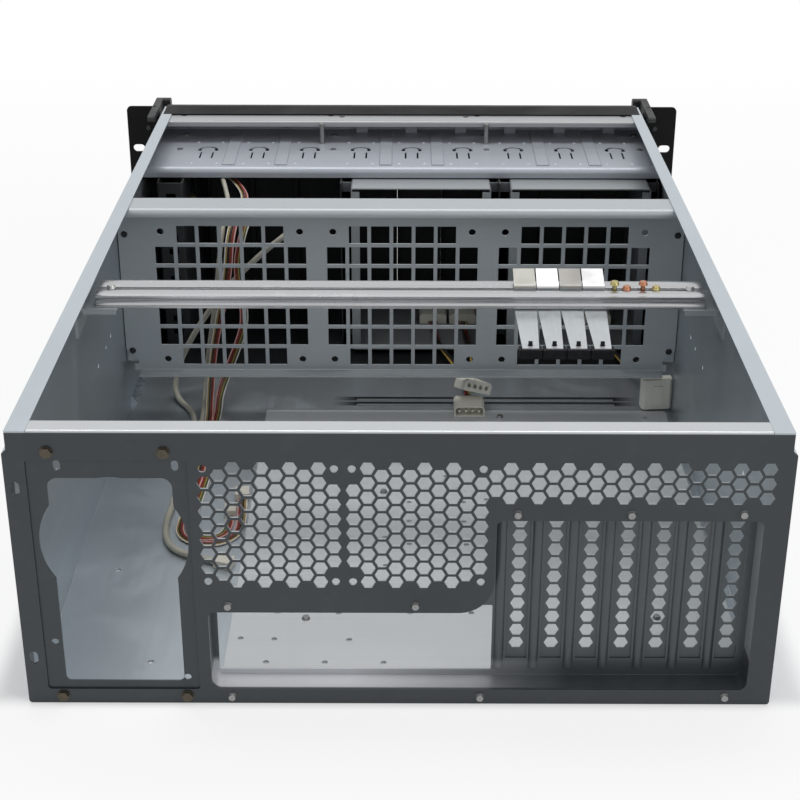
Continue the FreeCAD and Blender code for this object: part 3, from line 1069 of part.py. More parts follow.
def main():
    os.makedirs("parts", exist_ok=True)
    save("chassis_base", make_chassis_base())
    save("rear_panel", make_rear_panel())
    save("psu_plate", make_psu_plate())
    save("psu_plate_screws", make_psu_plate_screws())
    save("io_slot_panel", make_io_slot_panel())
    save("pan_screws", make_pan_screws())
    for k in range(SLOT_COUNT):
        save("slot_cover_%d" % (k + 1), make_slot_cover(k))
    save("fan_wall", make_fan_wall())
    for side, word in ((-1, "left"), (1, "right")):
        save("bar_bracket_" + word, make_bar_bracket(side))
        save("handle_" + word, make_handle(side))
    save("fan_wall_brackets", make_fan_wall_brackets())
    save("dark_screws", make_dark_screws())
    save("holddown_bar", make_holddown_bar())
    save("bar_screws", make_bar_screws())
    for k in range(ARM_COUNT):
        save("holddown_arm_%d" % (k + 1), make_holddown_arm(k))
        save("holddown_pad_%d" % (k + 1), make_holddown_pad(k))
    save("drive_shelf", make_drive_shelf())
    save("shelf_rivets", make_shelf_rivets())
    save("shelf_posts", make_shelf_posts())
    save("front_crossmember", make_front_crossmember())
    save("bay_channel", make_bay_channel())
    for index in (1, 2, 3):
        save("bay_divider_%d" % index, make_bay_divider(index))
    save("drive_cage_mid", make_drive_cage(0))
    save("drive_cage_right", make_drive_cage(1))
    save("front_panel", make_front_panel())
    save("bezel_frame", make_bezel_frame())
    save("bay_covers", make_bay_covers())
    save("power_button", make_button(POWER_Z, POWER_R))
    save("reset_button", make_button(RESET_Z, RESET_R))
    save("indicator_lenses", make_indicator_lenses())
    save("switch_block", make_switch_block())
    save("motherboard_tray", make_motherboard_tray())
    for number, place in enumerate(POWER_PLUGS):
        save("power_plug_%d" % (number + 1), power_plug(*place, pins=number == 0))
    save("drive_plugs", make_drive_plugs())
    save("header_plugs", make_header_plugs())
    save("front_panel_cable", cord_tube("front_panel_cable", FRONT_CABLE, FRONT_CABLE_D))
    save("lamp_cable", cord_tube("lamp_cable", LAMP_CABLE, LAMP_CABLE_D))
    save("usb_cable", cord_tube("usb_cable", USB_CABLE, USB_CABLE_D))
    save("audio_cable", cord_tube("audio_cable", AUDIO_CABLE, AUDIO_CABLE_D))
    for number, route in enumerate(POWER_LEADS):
        name = "power_lead_%d" % (number + 1)
        save(name, cord_tube(name, route, POWER_LEAD_D))


main()
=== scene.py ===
import math

import bmesh
import bpy
import numpy as np
from mathutils import Euler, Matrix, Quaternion, Vector


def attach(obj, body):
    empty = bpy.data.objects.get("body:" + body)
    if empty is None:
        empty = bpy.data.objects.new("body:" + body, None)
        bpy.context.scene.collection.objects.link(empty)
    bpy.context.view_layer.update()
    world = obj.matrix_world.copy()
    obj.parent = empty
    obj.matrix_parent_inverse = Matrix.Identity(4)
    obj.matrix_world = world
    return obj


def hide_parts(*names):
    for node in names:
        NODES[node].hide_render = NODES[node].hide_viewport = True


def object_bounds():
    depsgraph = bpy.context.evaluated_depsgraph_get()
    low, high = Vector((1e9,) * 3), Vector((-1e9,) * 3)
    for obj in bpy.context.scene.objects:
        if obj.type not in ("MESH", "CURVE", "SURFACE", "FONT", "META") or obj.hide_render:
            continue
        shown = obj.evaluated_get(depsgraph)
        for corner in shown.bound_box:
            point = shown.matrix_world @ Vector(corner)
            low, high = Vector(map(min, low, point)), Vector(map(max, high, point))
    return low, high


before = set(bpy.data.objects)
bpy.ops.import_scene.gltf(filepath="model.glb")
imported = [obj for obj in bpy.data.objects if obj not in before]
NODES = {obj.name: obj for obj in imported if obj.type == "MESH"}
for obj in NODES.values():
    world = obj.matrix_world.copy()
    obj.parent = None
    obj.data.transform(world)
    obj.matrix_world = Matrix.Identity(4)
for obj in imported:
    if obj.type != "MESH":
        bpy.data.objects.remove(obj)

CAD_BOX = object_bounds()
REAR_Y = -0.3309        # the rear panel's outer face, in the row frame
FLOOR_TOP = 0.001       # top of the case's floor sheet
RIM_Z = 0.1762          # above it the rear panel's folded top edge is painted pale, a painted reflection
TAB_Z = 0.1684          # above it stand the arms' tabs, over the bar



def add_object(name, data):
    """A new object at the origin that shows data, a mesh, lamp or camera."""
    made = bpy.data.objects.new(name, data)
    bpy.context.scene.collection.objects.link(made)
    return made


# ---------------------------------------------------------------- camera

CAMERA_PLACE = (0.00178, REAR_Y - 0.79345, 0.57918)
LENS_MM, SENSOR_MM = 74.75, 36.0
LOOK_DOWN, LOOK_LEFT, CAMERA_ROLL = 25.78, 0.11, 0.10       # degrees


def place_camera():
    """The camera stands behind the case, a little above it, and looks down its length."""
    lens = bpy.data.cameras.new("case_camera")
    lens.lens, lens.sensor_width = LENS_MM, SENSOR_MM
    lens.clip_start, lens.clip_end = 0.05, 60.0
    camera = add_object("case_camera", lens)
    camera.location = CAMERA_PLACE
    tilt = Euler((math.radians(90.0 - LOOK_DOWN), 0.0, math.radians(LOOK_LEFT))).to_quaternion()
    camera.rotation_mode = "QUATERNION"
    camera.rotation_quaternion = tilt @ Quaternion((0.0, 0.0, 1.0), math.radians(CAMERA_ROLL))
    bpy.context.scene.camera = camera


place_camera()

# ---------------------------------------------------------------- node helpers


class Nodes:
    """A node tree emptied of its first nodes, and short ways to add to it."""

    def __init__(self, owner):
        owner.use_nodes = True
        self.tree = owner.node_tree
        self.tree.nodes.clear()

    def node(self, kind, **values):
        """A new node with its settings."""
        made = self.tree.nodes.new(kind)
        for key, value in values.items():
            setattr(made, key, value)
        return made

    def link(self, source, target):
        self.tree.links.new(source, target)

    def ramp(self, value, low, high, from_value=0.0, to_value=1.0, shape="LINEAR"):
        """value mapped from low..high to from_value..to_value, held at both ends."""
        made = self.node("ShaderNodeMapRange", clamp=True, interpolation_type=shape)
        self.link(value, made.inputs["Value"])
        numbers = {"From Min": low, "From Max": high, "To Min": from_value, "To Max": to_value}
        for key, number in numbers.items():
            made.inputs[key].default_value = number
        return made.outputs["Result"]

    def maths(self, operation, a, b):
        """A sum of two values, each a number or another node's output."""
        made = self.node("ShaderNodeMath", operation=operation)
        for k, value in enumerate((a, b)):
            if isinstance(value, (int, float)):
                made.inputs[k].default_value = value
            else:
                self.link(value, made.inputs[k])
        return made.outputs[0]

    def screened(self):
        """1 for what the camera, a reflection or a refraction sees, 0 for what lights the case."""
        path = self.node("ShaderNodeLightPath").outputs
        seen = self.maths("MAXIMUM", path["Is Camera Ray"], path["Is Glossy Ray"])
        return self.maths("MAXIMUM", seen, path["Is Transmission Ray"])


class Finish(Nodes):
    """One material: a principled shader with patterns worked out on object coordinates."""

    def __init__(self, name, colour, metal=0.0, rough=0.5, **sockets):
        self.material = bpy.data.materials.new(name)
        super().__init__(self.material)
        self.shader = self.node("ShaderNodeBsdfPrincipled")
        out = self.node("ShaderNodeOutputMaterial")
        self.link(self.shader.outputs["BSDF"], out.inputs["Surface"])
        self.place = self.node("ShaderNodeTexCoord").outputs["Object"]
        self.colour, self.rough, self.height = None, None, None
        self.base = tuple(colour) + (1.0,)
        self.plain_rough = rough
        self.normal = None
        self.shader.inputs["Base Color"].default_value = self.base
        self.shader.inputs["Metallic"].default_value = metal
        self.shader.inputs["Roughness"].default_value = rough
        for socket, value in sockets.items():
            self.shader.inputs[socket.replace("_", " ")].default_value = value

    def stretched(self, scale, turn=(0.0, 0.0, 0.0), shift=(0.0, 0.0, 0.0)):
        """The coordinates, scaled by axis and turned, so that a pattern runs as a grain."""
        mapping = self.node("ShaderNodeMapping")
        self.link(self.place, mapping.inputs["Vector"])
        mapping.inputs["Scale"].default_value = scale
        mapping.inputs["Rotation"].default_value = [math.radians(a) for a in turn]
        mapping.inputs["Location"].default_value = shift
        return mapping.outputs["Vector"]

    def noise(self, scale, detail=2.0, rough=0.5, vector=None, distortion=0.0):
        """Soft clouds from 0 to 1, scale of them to a metre."""
        made = self.node("ShaderNodeTexNoise")
        self.link(vector or self.place, made.inputs["Vector"])
        numbers = {"Scale": scale, "Detail": detail, "Roughness": rough, "Distortion": distortion}
        for key, number in numbers.items():
            made.inputs[key].default_value = number
        return made.outputs["Fac"]

    def cells(self, scale, output="Distance"):
        """Packed cells, scale of them to a metre: the distance to each one's middle, or its own colour."""
        made = self.node("ShaderNodeTexVoronoi")
        self.link(self.place, made.inputs["Vector"])
        made.inputs["Scale"].default_value = scale
        return made.outputs[output]

    def tint(self, share, colour):
        """Lays colour over what is there, by share."""
        made = self.node("ShaderNodeMix", data_type="RGBA")
        self.link(share, made.inputs[0])
        if self.colour is None:
            made.inputs[6].default_value = self.base
        else:
            self.link(self.colour, made.inputs[6])
        made.inputs[7].default_value = tuple(colour) + (1.0,)
        self.colour = made.outputs[2]
        return self

    def roughen(self, amount):
        """Adds a pattern to the roughness."""
        self.rough = self.maths("ADD", amount, self.plain_rough if self.rough is None else self.rough)
        return self

    def raise_by(self, pattern, millimetres):
        """Adds a pattern, of 0 to 1, to the surface height."""
        part = self.maths("MULTIPLY", pattern, millimetres / 1000.0)
        self.height = part if self.height is None else self.maths("ADD", self.height, part)
        return self

    def edges(self, radius_mm, share, colour, rough=0.0):
        """Softens the edges by radius and wears their colour."""
        bevel = self.node("ShaderNodeBevel", samples=4)
        bevel.inputs["Radius"].default_value = radius_mm / 1000.0
        self.normal = bevel.outputs["Normal"]
        face = self.node("ShaderNodeNewGeometry").outputs["Normal"]
        dot = self.node("ShaderNodeVectorMath", operation="DOT_PRODUCT")
        self.link(self.normal, dot.inputs[0])
        self.link(face, dot.inputs[1])
        worn = self.ramp(dot.outputs["Value"], 0.995, 0.86, 0.0, 1.0)
        patchy = self.ramp(self.noise(90.0, 3.0, 0.6), 0.35, 0.62, 0.25, 1.0)
        worn = self.maths("MULTIPLY", worn, patchy)
        self.tint(self.maths("MULTIPLY", worn, share), colour)
        if rough:
            self.roughen(self.maths("MULTIPLY", worn, rough))
        return self

    def paint_hollow_shade(self, reach, share):
        """Paints shade into the deep inside of boxes: a near-black tint, growing with how closed in a point
        is.
        """
        closed = self.node("ShaderNodeAmbientOcclusion", samples=4)
        closed.inputs["Distance"].default_value = reach
        self.tint(self.maths("MULTIPLY", self.ramp(closed.outputs["AO"], 0.72, 0.18, 0.0, 1.0), share),
                  (0.004, 0.004, 0.005))
        return self

    def band(self, axis, low, high, colour, share=1.0, soft=0.0006):
        """Lays colour between two heights along an axis."""
        split = self.node("ShaderNodeSeparateXYZ")
        self.link(self.place, split.inputs[0])
        value = split.outputs["XYZ".index(axis)]
        inside = self.maths("MULTIPLY", self.ramp(value, low - soft, low, 0.0, 1.0),
                            self.ramp(value, high, high + soft, 1.0, 0.0))
        self.tint(self.maths("MULTIPLY", inside, share), colour)
        return self

    def patch(self, low, high, colour, share=1.0, soft=0.004):
        """Lays colour inside the box from low to high, fading out past its sides over soft, which is one
        distance or one for each axis."""
        soft = np.broadcast_to(soft, 3).tolist()
        place = self.node("ShaderNodeSeparateXYZ")
        self.link(self.place, place.inputs[0])
        inside = share
        for k in range(3):
            above = self.ramp(place.outputs[k], low[k] - soft[k], low[k], 0.0, 1.0)
            below = self.ramp(place.outputs[k], high[k], high[k] + soft[k], 1.0, 0.0)
            inside = self.maths("MULTIPLY", self.maths("MULTIPLY", above, below), inside)
        self.tint(inside, colour)
        return self

    def cut_walls(self, colour, low, high, share=0.9):
        """Lays bare metal on the walls of punched holes: where the surface is square to the panel's face
        and the place lies between the corners low and high."""
        face = self.node("ShaderNodeSeparateXYZ")
        self.link(self.node("ShaderNodeNewGeometry").outputs["Normal"], face.inputs[0])
        square = self.ramp(self.maths("ABSOLUTE", face.outputs[1], 0.0), 0.25, 0.45, 1.0, 0.0)
        place = self.node("ShaderNodeSeparateXYZ")
        self.link(self.place, place.inputs[0])
        for k in range(3):
            above = self.maths("GREATER_THAN", place.outputs[k], low[k])
            below = self.maths("LESS_THAN", place.outputs[k], high[k])
            square = self.maths("MULTIPLY", square, self.maths("MULTIPLY", above, below))
        self.tint(self.maths("MULTIPLY", square, share), colour)
        return self

    def done(self):
        """Joins the patterns to the shader and gives the material."""
        if self.colour is not None:
            self.link(self.colour, self.shader.inputs["Base Color"])
        if self.rough is not None:
            self.link(self.rough, self.shader.inputs["Roughness"])
        if self.height is not None:
            bump = self.node("ShaderNodeBump")
            bump.inputs["Strength"].default_value = 1.0
            bump.inputs["Distance"].default_value = 1.0
            self.link(self.height, bump.inputs["Height"])
            if self.normal is not None:
                self.link(self.normal, bump.inputs["Normal"])
            self.link(bump.outputs["Normal"], self.shader.inputs["Normal"])
        elif self.normal is not None:
            self.link(self.normal, self.shader.inputs["Normal"])
        return self.material


def srgb(r, g, b):
    """Linear colour of an 8-bit screen colour."""
    c = np.array([r, g, b]) / 255.0
    return tuple(np.where(c <= 0.04045, c / 12.92, ((c + 0.055) / 1.055) ** 2.4).tolist())


# ---------------------------------------------------------------- finishes


def coated_sheet(name, colour, grain="x", metal=0.3, rough=0.40, seed=0.0, hollow_shade=0.0,
                 patches=(), streak=1.0, wave=0.03):
    """Zinc-coated steel sheet: a faint rolled grain, cloudy coating, handling marks, bright cut edges.
    streak scales the grain and wave is the sheet's slow unevenness in millimetres."""
    f = Finish(name, colour, metal, rough)
    along = {"x": (3.0, 420.0, 420.0), "y": (420.0, 3.0, 420.0), "z": (420.0, 420.0, 3.0)}[grain]
    pale, dark = [min(1.0, c * 1.14 + 0.01) for c in colour], [c * 0.84 for c in colour]
    cloud = f.noise(9.0, 3.0, 0.55, f.stretched((1.0, 1.0, 1.0), shift=(seed, 0.3, 0.1)))
    f.tint(f.ramp(cloud, 0.40, 0.66, 0.0, 0.24), dark)
    grained = f.noise(1.0, 2.0, 0.6, f.stretched(along, shift=(seed, seed, 0.0)))
    f.tint(f.ramp(grained, 0.38, 0.64, 0.0, 0.16 * streak), pale)
    crystal = f.cells(520.0, output="Color")
    f.tint(f.ramp(crystal, 0.2, 0.9, 0.0, 0.07), pale)
    f.roughen(f.ramp(grained, 0.35, 0.65, -0.04 * streak, 0.05 * streak))
    slanted = f.stretched((5.0, 900.0, 60.0), (0.0, 0.0, 33.0), (seed, 0.0, 0.0))
    crossing = f.stretched((700.0, 7.0, 50.0), (0.0, 0.0, 21.0), (0.0, seed, 0.0))
    scratched = f.maths("MAXIMUM", f.ramp(f.noise(1.0, 1.0, 0.4, slanted), 0.735, 0.76),
                        f.ramp(f.noise(1.0, 1.0, 0.4, crossing), 0.745, 0.765))
    f.tint(f.maths("MULTIPLY", scratched, 0.3), pale)
    f.roughen(f.ramp(f.noise(16.0, 4.0, 0.6, distortion=0.8), 0.52, 0.70, 0.0, 0.08))
    f.raise_by(grained, 0.003 * streak)
    f.raise_by(f.noise(1400.0, 2.0), 0.004)
    f.raise_by(f.noise(22.0, 1.0), wave)
    f.edges(0.35, 0.5, pale, -0.08)
    # painted shade: near black where the sheet is closed in
    if hollow_shade:
        f.paint_hollow_shade(0.10, hollow_shade)
    for low, high, laid, share, soft in patches:
        f.patch(low, high, laid, share, soft)
    return f.done()


def powder_coat(name, colour, rough, metal, edge, peel=0.02, painted_reflection_above=None, punched=None,
                shine=0.5, patches=()):
    """Sprayed coat on sheet: orange-peel skin, softly varying gloss, dust in patches, thin at the edges."""
    f = Finish(name, colour, metal, rough, Specular_IOR_Level=shine)
    pale, dark = [min(1.0, c * 1.35 + 0.006) for c in colour], [c * 0.78 for c in colour]
    f.tint(f.ramp(f.noise(7.0, 3.0, 0.6), 0.42, 0.68, 0.0, 0.45), dark)
    f.tint(f.ramp(f.noise(60.0, 4.0, 0.65), 0.55, 0.75, 0.0, 0.30), pale)
    f.tint(f.ramp(f.noise(2600.0, 1.0), 0.55, 0.72, 0.0, 0.22), pale)
    marks = f.noise(1.0, 1.0, 0.4, f.stretched((6.0, 60.0, 800.0), (0.0, 24.0, 0.0)))
    f.tint(f.ramp(marks, 0.74, 0.765, 0.0, 0.35), pale)
    f.roughen(f.ramp(f.noise(14.0, 4.0, 0.6, distortion=0.6), 0.4, 0.7, -0.05, 0.09))
    f.raise_by(f.noise(700.0, 2.0, 0.5), peel)
    f.raise_by(f.noise(2600.0, 1.0), peel * 0.35)
    f.edges(0.4, 0.6, edge, -0.05)
    # painted reflection: the sheet above that height is laid pale
    if painted_reflection_above:
        f.band("Z", painted_reflection_above, 0.2, srgb(196, 199, 201), 0.92)
    if punched:
        f.cut_walls(srgb(176, 180, 184), *punched)
    for low, high, laid, share, soft in patches:
        f.patch(low, high, laid, share, soft)
    return f.done()


def moulded_plastic(name, colour, rough=0.5, grain_mm=0.03, shine=0.5):
    """Injection-moulded plastic: spark-eroded grain, slight sink clouds, rubbed edges."""
    f = Finish(name, colour, 0.0, rough, Specular_IOR_Level=shine)
    pale, dark = [min(1.0, c * 1.3 + 0.01) for c in colour], [c * 0.82 for c in colour]
    f.tint(f.ramp(f.noise(25.0, 3.0), 0.40, 0.66, 0.0, 0.35), dark)
    f.tint(f.ramp(f.noise(1900.0, 2.0), 0.5, 0.72, 0.0, 0.25), pale)
    f.roughen(f.ramp(f.noise(40.0, 3.0, 0.6), 0.4, 0.66, -0.06, 0.07))
    f.raise_by(f.cells(1100.0), grain_mm)
    f.raise_by(f.noise(30.0, 1.0), 0.04)
    f.edges(0.3, 0.45, pale, -0.08)
    return f.done()


def bright_steel(name, colour, rough=0.22, metal=0.95, bands=()):
    """Plated screw or rivet: turned rings, small pits, a little soil where the head meets the sheet."""
    f = Finish(name, colour, metal, rough)
    dark = [c * 0.45 for c in colour]
    f.tint(f.ramp(f.noise(520.0, 3.0, 0.6), 0.50, 0.70, 0.0, 0.55), dark)
    f.tint(f.ramp(f.noise(90.0, 2.0), 0.45, 0.70, 0.0, 0.35), [min(1.0, c * 1.2) for c in colour])
    f.roughen(f.ramp(f.noise(700.0, 3.0), 0.35, 0.65, -0.06, 0.12))
    f.raise_by(f.noise(1500.0, 2.0), 0.01)
    f.edges(0.15, 0.5, [min(1.0, c * 1.25) for c in colour], -0.05)
    for low, high, plate in bands:
        f.band("X", low, high, plate, 0.9)
    return f.done()


def drawn_aluminium(name, colour, rough=0.26):
    """Extruded, anodised bar: die lines along its length and a few dull rubs."""
    f = Finish(name, colour, 0.9, rough)
    lines = f.noise(1.0, 3.0, 0.65, f.stretched((1.2, 2200.0, 2200.0)))
    wide = f.noise(1.0, 2.0, 0.5, f.stretched((0.8, 420.0, 420.0)))
    f.tint(f.ramp(lines, 0.36, 0.64, 0.0, 0.40), [c * 0.72 for c in colour])
    f.tint(f.ramp(wide, 0.45, 0.66, 0.0, 0.35), [min(1.0, c * 1.15) for c in colour])
    rub = f.ramp(f.noise(30.0, 4.0, 0.65), 0.56, 0.70, 0.0, 0.12)
    f.roughen(rub)
    f.roughen(f.ramp(lines, 0.35, 0.65, -0.06, 0.08))
    f.raise_by(lines, 0.006)
    f.raise_by(wide, 0.01)
    f.edges(0.3, 0.5, [min(1.0, c * 1.2) for c in colour], -0.06)
    return f.done()


def stamped_strip(name, colour, tab):
    """Sheared and folded strip: brushed across its width, dull patches, bright sheared edges. The tab that
    stands over the bar is laid a different brightness on each arm, painted light and shade for how each tab
    is tilted to the lamps."""
    f = Finish(name, colour, 0.6, 0.33)
    brushed = f.noise(1.0, 3.0, 0.6, f.stretched((900.0, 12.0, 12.0)))
    f.tint(f.ramp(brushed, 0.36, 0.64, 0.0, 0.30), [c * 0.78 for c in colour])
    f.tint(f.ramp(f.noise(130.0, 3.0), 0.5, 0.7, 0.0, 0.25), [min(1.0, c * 1.12) for c in colour])
    f.roughen(f.ramp(f.noise(80.0, 3.0), 0.4, 0.65, -0.05, 0.1))
    f.raise_by(brushed, 0.004)
    f.band("Z", TAB_Z, 0.2, tab, 0.85)
    f.edges(0.25, 0.6, [min(1.0, c * 1.25) for c in colour], -0.08)
    return f.done()


def rubber_foot(name):
    """Black rubber: matt skin, moulding dust, scuffed edges."""
    f = Finish(name, (0.012, 0.013, 0.014), 0.0, 0.78, Specular_IOR_Level=0.2)
    f.tint(f.ramp(f.noise(260.0, 4.0, 0.6), 0.5, 0.72, 0.0, 0.4), (0.035, 0.037, 0.039))
    f.roughen(f.ramp(f.noise(90.0, 3.0), 0.4, 0.65, -0.12, 0.1))
    f.raise_by(f.noise(1300.0, 2.0), 0.03)
    f.edges(0.35, 0.4, (0.05, 0.052, 0.055))
    return f.done()


def wire_jacket(name, colour, rough=0.38):
    """Thin vinyl insulation: drawn along the wire, with a soft sheen and handling soil."""
    f = Finish(name, colour, 0.0, rough, Specular_IOR_Level=0.45)
    f.tint(f.ramp(f.noise(110.0, 3.0, 0.6), 0.45, 0.7, 0.0, 0.35), [c * 0.6 for c in colour])
    f.tint(f.ramp(f.noise(900.0, 2.0), 0.5, 0.75, 0.0, 0.2), [min(1.0, c * 1.25 + 0.02) for c in colour])
    f.roughen(f.ramp(f.noise(160.0, 3.0), 0.4, 0.66, -0.06, 0.12))
    f.raise_by(f.noise(1200.0, 2.0), 0.012)
    return f.done()


def clear_lens(name, colour):
    """Tinted indicator cap: glossy, with a faint moulded swirl."""
    f = Finish(name, colour, 0.0, 0.16, Specular_IOR_Level=0.6)
    f.tint(f.ramp(f.noise(400.0, 3.0), 0.4, 0.7, 0.0, 0.5), [c * 0.6 for c in colour])
    f.roughen(f.ramp(f.noise(300.0, 2.0), 0.4, 0.65, -0.05, 0.08))
    f.raise_by(f.noise(900.0, 1.0), 0.01)
    return f.done()


ZINC = srgb(180, 188, 194)
# painted shade: the rear panel is zinc, laid dark slate for the dark surroundings its face reflects
REAR_FACE_SHADE = srgb(60, 65, 68)
STRIP_STEEL = srgb(186, 191, 193)
SCREW_ZINC = srgb(176, 178, 180)
SCREW_COPPER = srgb(176, 116, 92)

# corners of the box that holds the vents' punched holes, then the slot covers'
VENTS = (-0.114, REAR_Y - 0.001, 0.030), (0.2105, REAR_Y + 0.0016, 0.170)
SLOTS = (0.045, REAR_Y - 0.001, 0.030), (0.2105, REAR_Y + 0.03, 0.150)

# patches: the low corner, the high corner, the colour laid, its share, and how far it fades out
# painted shade: the two beads pressed into the floor under the fan wall are laid near black
BEAD_ROWS = (0.0630, 0.0720)
PAINTED_BEAD_SHADE = tuple(((-0.0355, y, -0.01), (0.1705, y + 0.0062, 0.007), (0.03, 0.033, 0.036), 0.97,
                      (0.02, 0.0008, 0.001)) for y in BEAD_ROWS)
SHADE_UNDER_BAYS = ((-0.212, 0.139, -0.01), (0.212, 0.330, 0.0022), (0.006, 0.007, 0.008), 0.93, 0.003)
# painted highlight: a pale band on the low ledge of the rear panel and slot panel, fading out along x,
# stands for the light the ledge reflects
LEDGE_HIGHLIGHT = ((-0.104, REAR_Y + 0.0026, 0.0), (-0.03, REAR_Y + 0.03, 0.018), srgb(206, 208, 212), 0.85,
              (0.13, 0.001, 0.004))

# bands across the bar's screws, as low x, high x and plating: the clamp screws at the ends, two arm screws
BAR_SCREW_BANDS = ((-0.3, -0.185, SCREW_ZINC), (0.185, 0.3, SCREW_ZINC), (0.1467, 0.1653, SCREW_COPPER))

FINISHES = {
    "case_sheet": coated_sheet("case_sheet", ZINC, "y", metal=0.85, rough=0.36, seed=0.7,
                               patches=PAINTED_BEAD_SHADE + (SHADE_UNDER_BAYS,), streak=0.3, wave=0.008),
    "tray_sheet": coated_sheet("tray_sheet", srgb(196, 200, 202), "x", seed=2.9, rough=0.42),
    "shelf_sheet": coated_sheet("shelf_sheet", srgb(164, 169, 177), "x", seed=1.9),
    "wall_sheet": coated_sheet("wall_sheet", srgb(168, 174, 178), "x", seed=4.3),
    "beam_sheet": coated_sheet("beam_sheet", srgb(160, 162, 164), "x", seed=5.1, rough=0.34),
    # the cages' and bays' insides get painted shade by how closed in they are
    "cage_sheet": coated_sheet("cage_sheet", srgb(150, 155, 158), "x", seed=6.6, hollow_shade=0.97),
    "bay_sheet": coated_sheet("bay_sheet", srgb(50, 53, 55), "z", rough=0.5, seed=7.4, hollow_shade=0.9),
    # painted shade: the rear panel's and slot panel's zinc is laid dark for the dark surroundings their
    # faces reflect
    "rear_zinc_shaded": powder_coat("rear_zinc_shaded", REAR_FACE_SHADE, 0.34, 0.45, srgb(104, 110, 113), painted_reflection_above=RIM_Z,
                             punched=VENTS, patches=(LEDGE_HIGHLIGHT,)),
    "slots_zinc_shaded": powder_coat("slots_zinc_shaded", srgb(78, 84, 87), 0.34, 0.45, srgb(116, 122, 124),
                              punched=SLOTS, patches=(LEDGE_HIGHLIGHT,)),
    "ear_coat": powder_coat("ear_coat", srgb(10, 10, 10), 0.6, 0.0, srgb(40, 40, 40), 0.03, shine=0.15),
    "bezel_plastic": moulded_plastic("bezel_plastic", srgb(46, 47, 46), 0.56, shine=0.25),
    "handle_plastic": moulded_plastic("handle_plastic", srgb(48, 49, 49), 0.52, 0.04, 0.25),
    "cover_plastic": moulded_plastic("cover_plastic", srgb(38, 39, 40), 0.55, shine=0.25),
    "button_plastic": moulded_plastic("button_plastic", srgb(48, 49, 52), 0.4, 0.01),
    "switch_plastic": moulded_plastic("switch_plastic", srgb(30, 30, 31), 0.5),
    "plug_plastic": moulded_plastic("plug_plastic", srgb(226, 223, 212), 0.36, 0.008, 0.5),
    "header_plastic": moulded_plastic("header_plastic", srgb(198, 194, 182), 0.42, 0.008),
    "plain_screw": bright_steel("plain_screw", srgb(146, 147, 146), 0.34),
    "bar_screw": bright_steel("bar_screw", srgb(176, 164, 112), 0.28, bands=BAR_SCREW_BANDS),
    "bronze_screw": bright_steel("bronze_screw", srgb(88, 82, 72), 0.34),
    "dark_screw": bright_steel("dark_screw", srgb(54, 54, 56), 0.4, 0.7),
    "bar_aluminium": drawn_aluminium("bar_aluminium", srgb(182, 183, 185)),
    # the arms' tabs carry painted light and shade: each tab's colour stands for how it catches the lamps
    "arm_steel_1": stamped_strip("arm_steel_1", STRIP_STEEL, srgb(164, 162, 153)),
    "arm_steel_2": stamped_strip("arm_steel_2", STRIP_STEEL, srgb(246, 246, 246)),
    "arm_steel_3": stamped_strip("arm_steel_3", STRIP_STEEL, srgb(142, 138, 132)),
    "arm_steel_4": stamped_strip("arm_steel_4", STRIP_STEEL, srgb(212, 212, 211)),
    "foot_rubber": rubber_foot("foot_rubber"),
    "lamp_lens": clear_lens("lamp_lens", srgb(150, 196, 150)),
    "cable_jacket": wire_jacket("cable_jacket", srgb(168, 165, 152), 0.5),
}

FINISH_OF = {
    "case_sheet": ["chassis_base"],
    "tray_sheet": ["motherboard_tray"],
    "shelf_sheet": ["drive_shelf"],
    "wall_sheet": ["fan_wall", "fan_wall_brackets", "bar_bracket_left", "bar_bracket_right"],
    "beam_sheet": ["front_crossmember"],
    "cage_sheet": ["drive_cage_mid", "drive_cage_right"],
    "bay_sheet": ["bay_channel", "bay_divider_1", "bay_divider_2", "bay_divider_3"],
    "rear_zinc_shaded": ["rear_panel", "psu_plate"],
    "slots_zinc_shaded": ["io_slot_panel"] + ["slot_cover_%d" % k for k in range(1, 8)],
    "ear_coat": ["front_panel"],
    "bezel_plastic": ["bezel_frame"],
    "handle_plastic": ["handle_left", "handle_right"],
    "cover_plastic": ["bay_covers"],
    "button_plastic": ["power_button", "reset_button"],
    "switch_plastic": ["switch_block"],
    "plug_plastic": ["power_plug_1", "power_plug_2", "power_plug_3", "drive_plugs"],
    "header_plastic": ["header_plugs"],
    "plain_screw": ["pan_screws", "shelf_rivets", "shelf_posts"],
    "bar_screw": ["bar_screws"],
    "bronze_screw": ["psu_plate_screws"],
    "dark_screw": ["dark_screws"],
    "bar_aluminium": ["holddown_bar"],
    "arm_steel_1": ["holddown_arm_1"],
    "arm_steel_2": ["holddown_arm_2"],
    "arm_steel_3": ["holddown_arm_3"],
    "arm_steel_4": ["holddown_arm_4"],
    "foot_rubber": ["holddown_pad_%d" % k for k in range(1, 5)],
    "lamp_lens": ["indicator_lenses"],
    "cable_jacket": ["usb_cable", "audio_cable", "front_panel_cable", "lamp_cable", "power_lead_1",
                     "power_lead_2", "power_lead_3"],
}


def finish_nodes():
    """Gives every CAD node its finish."""
    for finish, names in FINISH_OF.items():
        for name in names:
            materials = NODES[name].data.materials
            materials.clear()
            materials.append(FINISHES[finish])
    bare = set(NODES) - {name for names in FINISH_OF.values() for name in names}
    assert not bare, bare


finish_nodes()

# ---------------------------------------------------------------- cords


